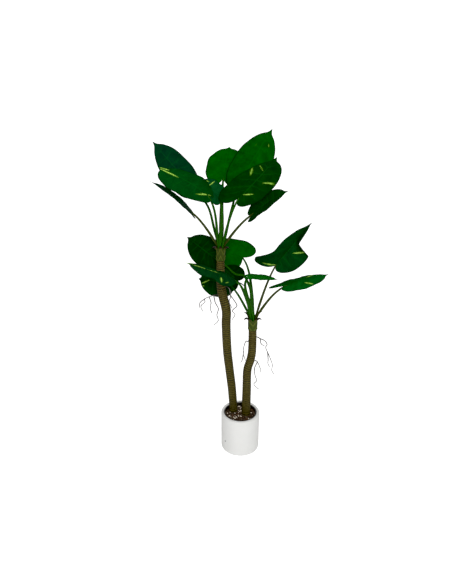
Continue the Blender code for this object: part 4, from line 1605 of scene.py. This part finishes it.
@dataclass
class AerialRoots:
    """A loose cluster of thin roots that hangs from a cane."""

    name: str
    crown: Crown
    height: float
    bearing: float
    branches: tuple[Knots, ...]
    radius: float = 0.0023
    gap: float = 0.0003
    wriggle: Relief = Relief(0.0007, 13.0)
    knobs: Relief = Relief(0.16, 5.0, 2.0)
    taper: float = 0.35
    sides: int = 9
    knot_steps: int = 12
    finish: CorkyRootSkin = CorkyRootSkin("corky_aerial_root", "#4A4847", 0.85, 1.45, 0.15)

    def build(self) -> None:
        """Make the cluster."""
        centre = cane_centre(self.crown, np.array([self.height]))[0]
        way = np.array((math.cos(math.radians(self.bearing)), math.sin(math.radians(self.bearing)), 0.0))
        reach = cane_radius(self.crown, np.array([self.height]))[0] + CANE_RELIEF + self.gap
        foot = [centre + way * reach, centre + way * (reach + 0.007) - np.array((0.0, 0.0, 0.001))]
        draft = Draft()
        for index, knots in enumerate(self.branches):
            spots = np.array([*(foot if index == 0 else ()), *knots])
            f = np.linspace(0.0, 1.0, self.knot_steps * (len(spots) - 1) + 1)
            line = through_knots(spots, f)
            wriggle = np.stack([self.wriggle.at(line, seed) for seed in (1.0, 5.0, 9.0)], 1)
            line = line + wriggle * smooth_step(0.0, 0.1, f)[:, None]
            radii = self.radius * (1.0 - self.taper * f) * (1 + self.knobs.at(line, index))
            radii[-3:] *= np.array((0.9, 0.7, 0.35))
            share = np.repeat(f if index == 0 else 0.3 + 0.7 * f, self.sides)
            draft.add(*tube(line, radii, self.sides), root_place=share)
        piece = draft.build("corky_" + self.name, [self.finish.material()])
        seat_piece(piece, "root_grey", self.name)


ROOTS = (
    AerialRoots("aerial_roots_tall_left", Crown.TALL, 0.7344, 212, (
        ((-0.114, 0.010, 0.734), (-0.132, 0.002, 0.731), (-0.150, 0.000, 0.723), (-0.150, 0.000, 0.709),
         (-0.166, 0.000, 0.691), (-0.158, 0.000, 0.665)),
        ((-0.132, 0.002, 0.731), (-0.125, -0.004, 0.709), (-0.128, -0.004, 0.683), (-0.121, -0.004, 0.660)),
        ((-0.114, 0.010, 0.734), (-0.108, -0.006, 0.710), (-0.095, -0.010, 0.684), (-0.101, -0.010, 0.656),
         (-0.096, -0.010, 0.630), (-0.114, -0.010, 0.610)),
        ((-0.150, 0.000, 0.723), (-0.170, 0.004, 0.704), (-0.172, 0.004, 0.680)),
    )),
    AerialRoots("aerial_roots_tall_right", Crown.TALL, 0.767, 344, (
        ((-0.049, 0.004, 0.762), (-0.046, 0.000, 0.731), (-0.051, 0.000, 0.710), (-0.039, 0.000, 0.678)),
        ((-0.047, 0.000, 0.740), (-0.023, -0.004, 0.705), (-0.021, -0.004, 0.691), (-0.038, -0.004, 0.672),
         (-0.027, -0.004, 0.655), (-0.039, -0.004, 0.630)),
    )),
    AerialRoots("aerial_roots_short_left", Crown.SHORT, 0.534, 212, (
        ((0.018, -0.004, 0.530), (0.010, -0.006, 0.500), (0.010, -0.006, 0.470), (0.021, -0.006, 0.436)),
        ((0.010, -0.006, 0.485), (0.006, -0.010, 0.450), (-0.002, -0.010, 0.430)),
    )),
    AerialRoots("aerial_roots_short_right", Crown.SHORT, 0.550, 344, (
        ((0.079, -0.002, 0.543), (0.098, -0.004, 0.535), (0.109, -0.004, 0.517), (0.104, -0.004, 0.500),
         (0.121, -0.004, 0.459), (0.134, -0.004, 0.420), (0.133, -0.004, 0.392), (0.144, -0.004, 0.370)),
        ((0.079, -0.002, 0.543), (0.083, -0.008, 0.522), (0.099, -0.010, 0.512)),
        ((0.111, -0.004, 0.482), (0.116, 0.002, 0.444), (0.116, 0.002, 0.420), (0.126, 0.002, 0.404)),
    )),
    AerialRoots("aerial_roots_short_low", Crown.SHORT, 0.437, 344, (
        ((0.070, -0.006, 0.434), (0.082, -0.008, 0.405), (0.083, -0.008, 0.380)),
        ((0.070, -0.006, 0.434), (0.058, -0.012, 0.405), (0.061, -0.012, 0.370), (0.069, -0.012, 0.345),
         (0.057, -0.012, 0.325), (0.081, -0.012, 0.299)),
    )),
)


@dataclass(frozen=True)
class SoftBox:
    """One square soft light: where it hangs, the point that it faces, its sides' length and its power."""

    name: str
    place: tuple[float, float, float]
    aim: tuple[float, float, float]
    size: float
    watts: float

    def hang(self) -> None:
        """Hang the light."""
        data = bpy.data.lights.new(self.name, "AREA")
        data.shape = "SQUARE"
        data.size = self.size
        data.energy = self.watts
        made = add_object(self.name, data)
        made.location = self.place
        made.rotation_euler = (Vector(self.aim) - Vector(self.place)).to_track_quat("-Z", "Y").to_euler()


@dataclass
class Studio:
    """A white sweep lit from behind, soft lights and the camera at the photograph's angle."""

    camera_place: tuple[float, float, float] = (-0.064, -1.824, 1.490)
    pitch_down: float = 22.0
    focal_pixels: float = 487.7
    sensor_mm: float = 36.0
    sweep_back: float = 3.2
    sweep_radius: float = 1.5
    sweep_half_width: float = 7.0
    sweep_top: float = 5.0
    sweep_front: float = -6.0
    sweep_gap: float = 0.0004
    air_glow: float = 0.14
    black_point: float = 0.0060
    key: SoftBox = SoftBox("key_softbox", (0.15, -3.1, 2.3), (0.0, 0.0, 0.7), 1.2, 124.0)
    top: SoftBox = SoftBox("top_softbox", (0.0, 0.0, 3.4), (0.0, 0.0, 0.0), 2.0, 30.0)
    sweep: LitOpalAcrylic = LitOpalAcrylic("lit_opal_acrylic", "#8C8C8C", 0.8, 1.49, 0.1)

    def camera(self) -> None:
        """Place the camera."""
        data = bpy.data.cameras.new("photo_camera")
        data.sensor_width = self.sensor_mm
        data.lens = self.sensor_mm * self.focal_pixels / IMAGE_HEIGHT
        made = add_object("photo_camera", data)
        made.location = self.camera_place
        made.rotation_euler = (math.radians(90.0 - self.pitch_down), 0.0, 0.0)
        bpy.context.scene.camera = made

    def backdrop(self) -> None:
        """Lay the sweep: a floor that curves up behind the plant."""
        radius = self.sweep_radius
        profile = [(self.sweep_front, 0.0), (0.0, 0.0)]
        profile += [(self.sweep_back - radius + y, radius + z) for y, z in arc(0.0, 0.0, radius, -90, 0, 16)]
        profile += [(self.sweep_back, self.sweep_top)]
        edges = (-self.sweep_half_width, self.sweep_half_width)
        points = [(x, y, z - self.sweep_gap) for y, z in profile for x in edges]
        faces = [(2 * i, 2 * i + 1, 2 * i + 3, 2 * i + 2) for i in range(len(profile) - 1)]
        draft = Draft()
        draft.add(np.array(points), faces)
        draft.build("acrylic_sweep", [self.sweep.material()])

    def build(self) -> None:
        """Set the studio up."""
        self.camera()
        self.backdrop()
        self.key.hang()
        self.top.hang()
        world = bpy.data.worlds.new("studio_air")
        world.use_nodes = True
        air = world.node_tree.nodes["Background"]
        air.inputs["Color"].default_value = linear("#FFFFFF")
        air.inputs["Strength"].default_value = self.air_glow
        bpy.context.scene.world = world
        view = bpy.context.scene.view_settings
        view.view_transform = "Standard"
        # The photograph is developed with deep blacks, so the darkest greens lose their grey haze.
        view.use_curve_mapping = True
        view.curve_mapping.black_level = (self.black_point,) * 3
        view.curve_mapping.update()


def main() -> None:
    """Build the plant and its studio."""
    logging.basicConfig(level=logging.INFO, format="%(name)s: %(message)s")
    canes = (Cane(Crown.TALL, seed=3.0), Cane(Crown.SHORT, seed=17.0))
    for part in (Planter(), NurseryLiner(), SoilBed(), *canes, *SHEATHS):
        part.build()
    back = MattLeafBack("matt_leaf_back", "#052209", 0.7, 1.42, 0.02).material()
    woody = StalkSkin("olive_stalk_skin", "#2A3410", 0.58, 1.42, 0.06, foot="#1E2A08", speck="#5C5A36")
    woody = woody.material()
    skin = StalkSkin("leaf_stalk_skin", "#113E06", 0.55, 1.42, 0.06).material()
    for pose in LEAVES:
        Leaf(pose).build(back, woody if pose.woody else skin)
    for roots in ROOTS:
        roots.build()
    Studio().build()


if __name__ == "__main__":
    main()
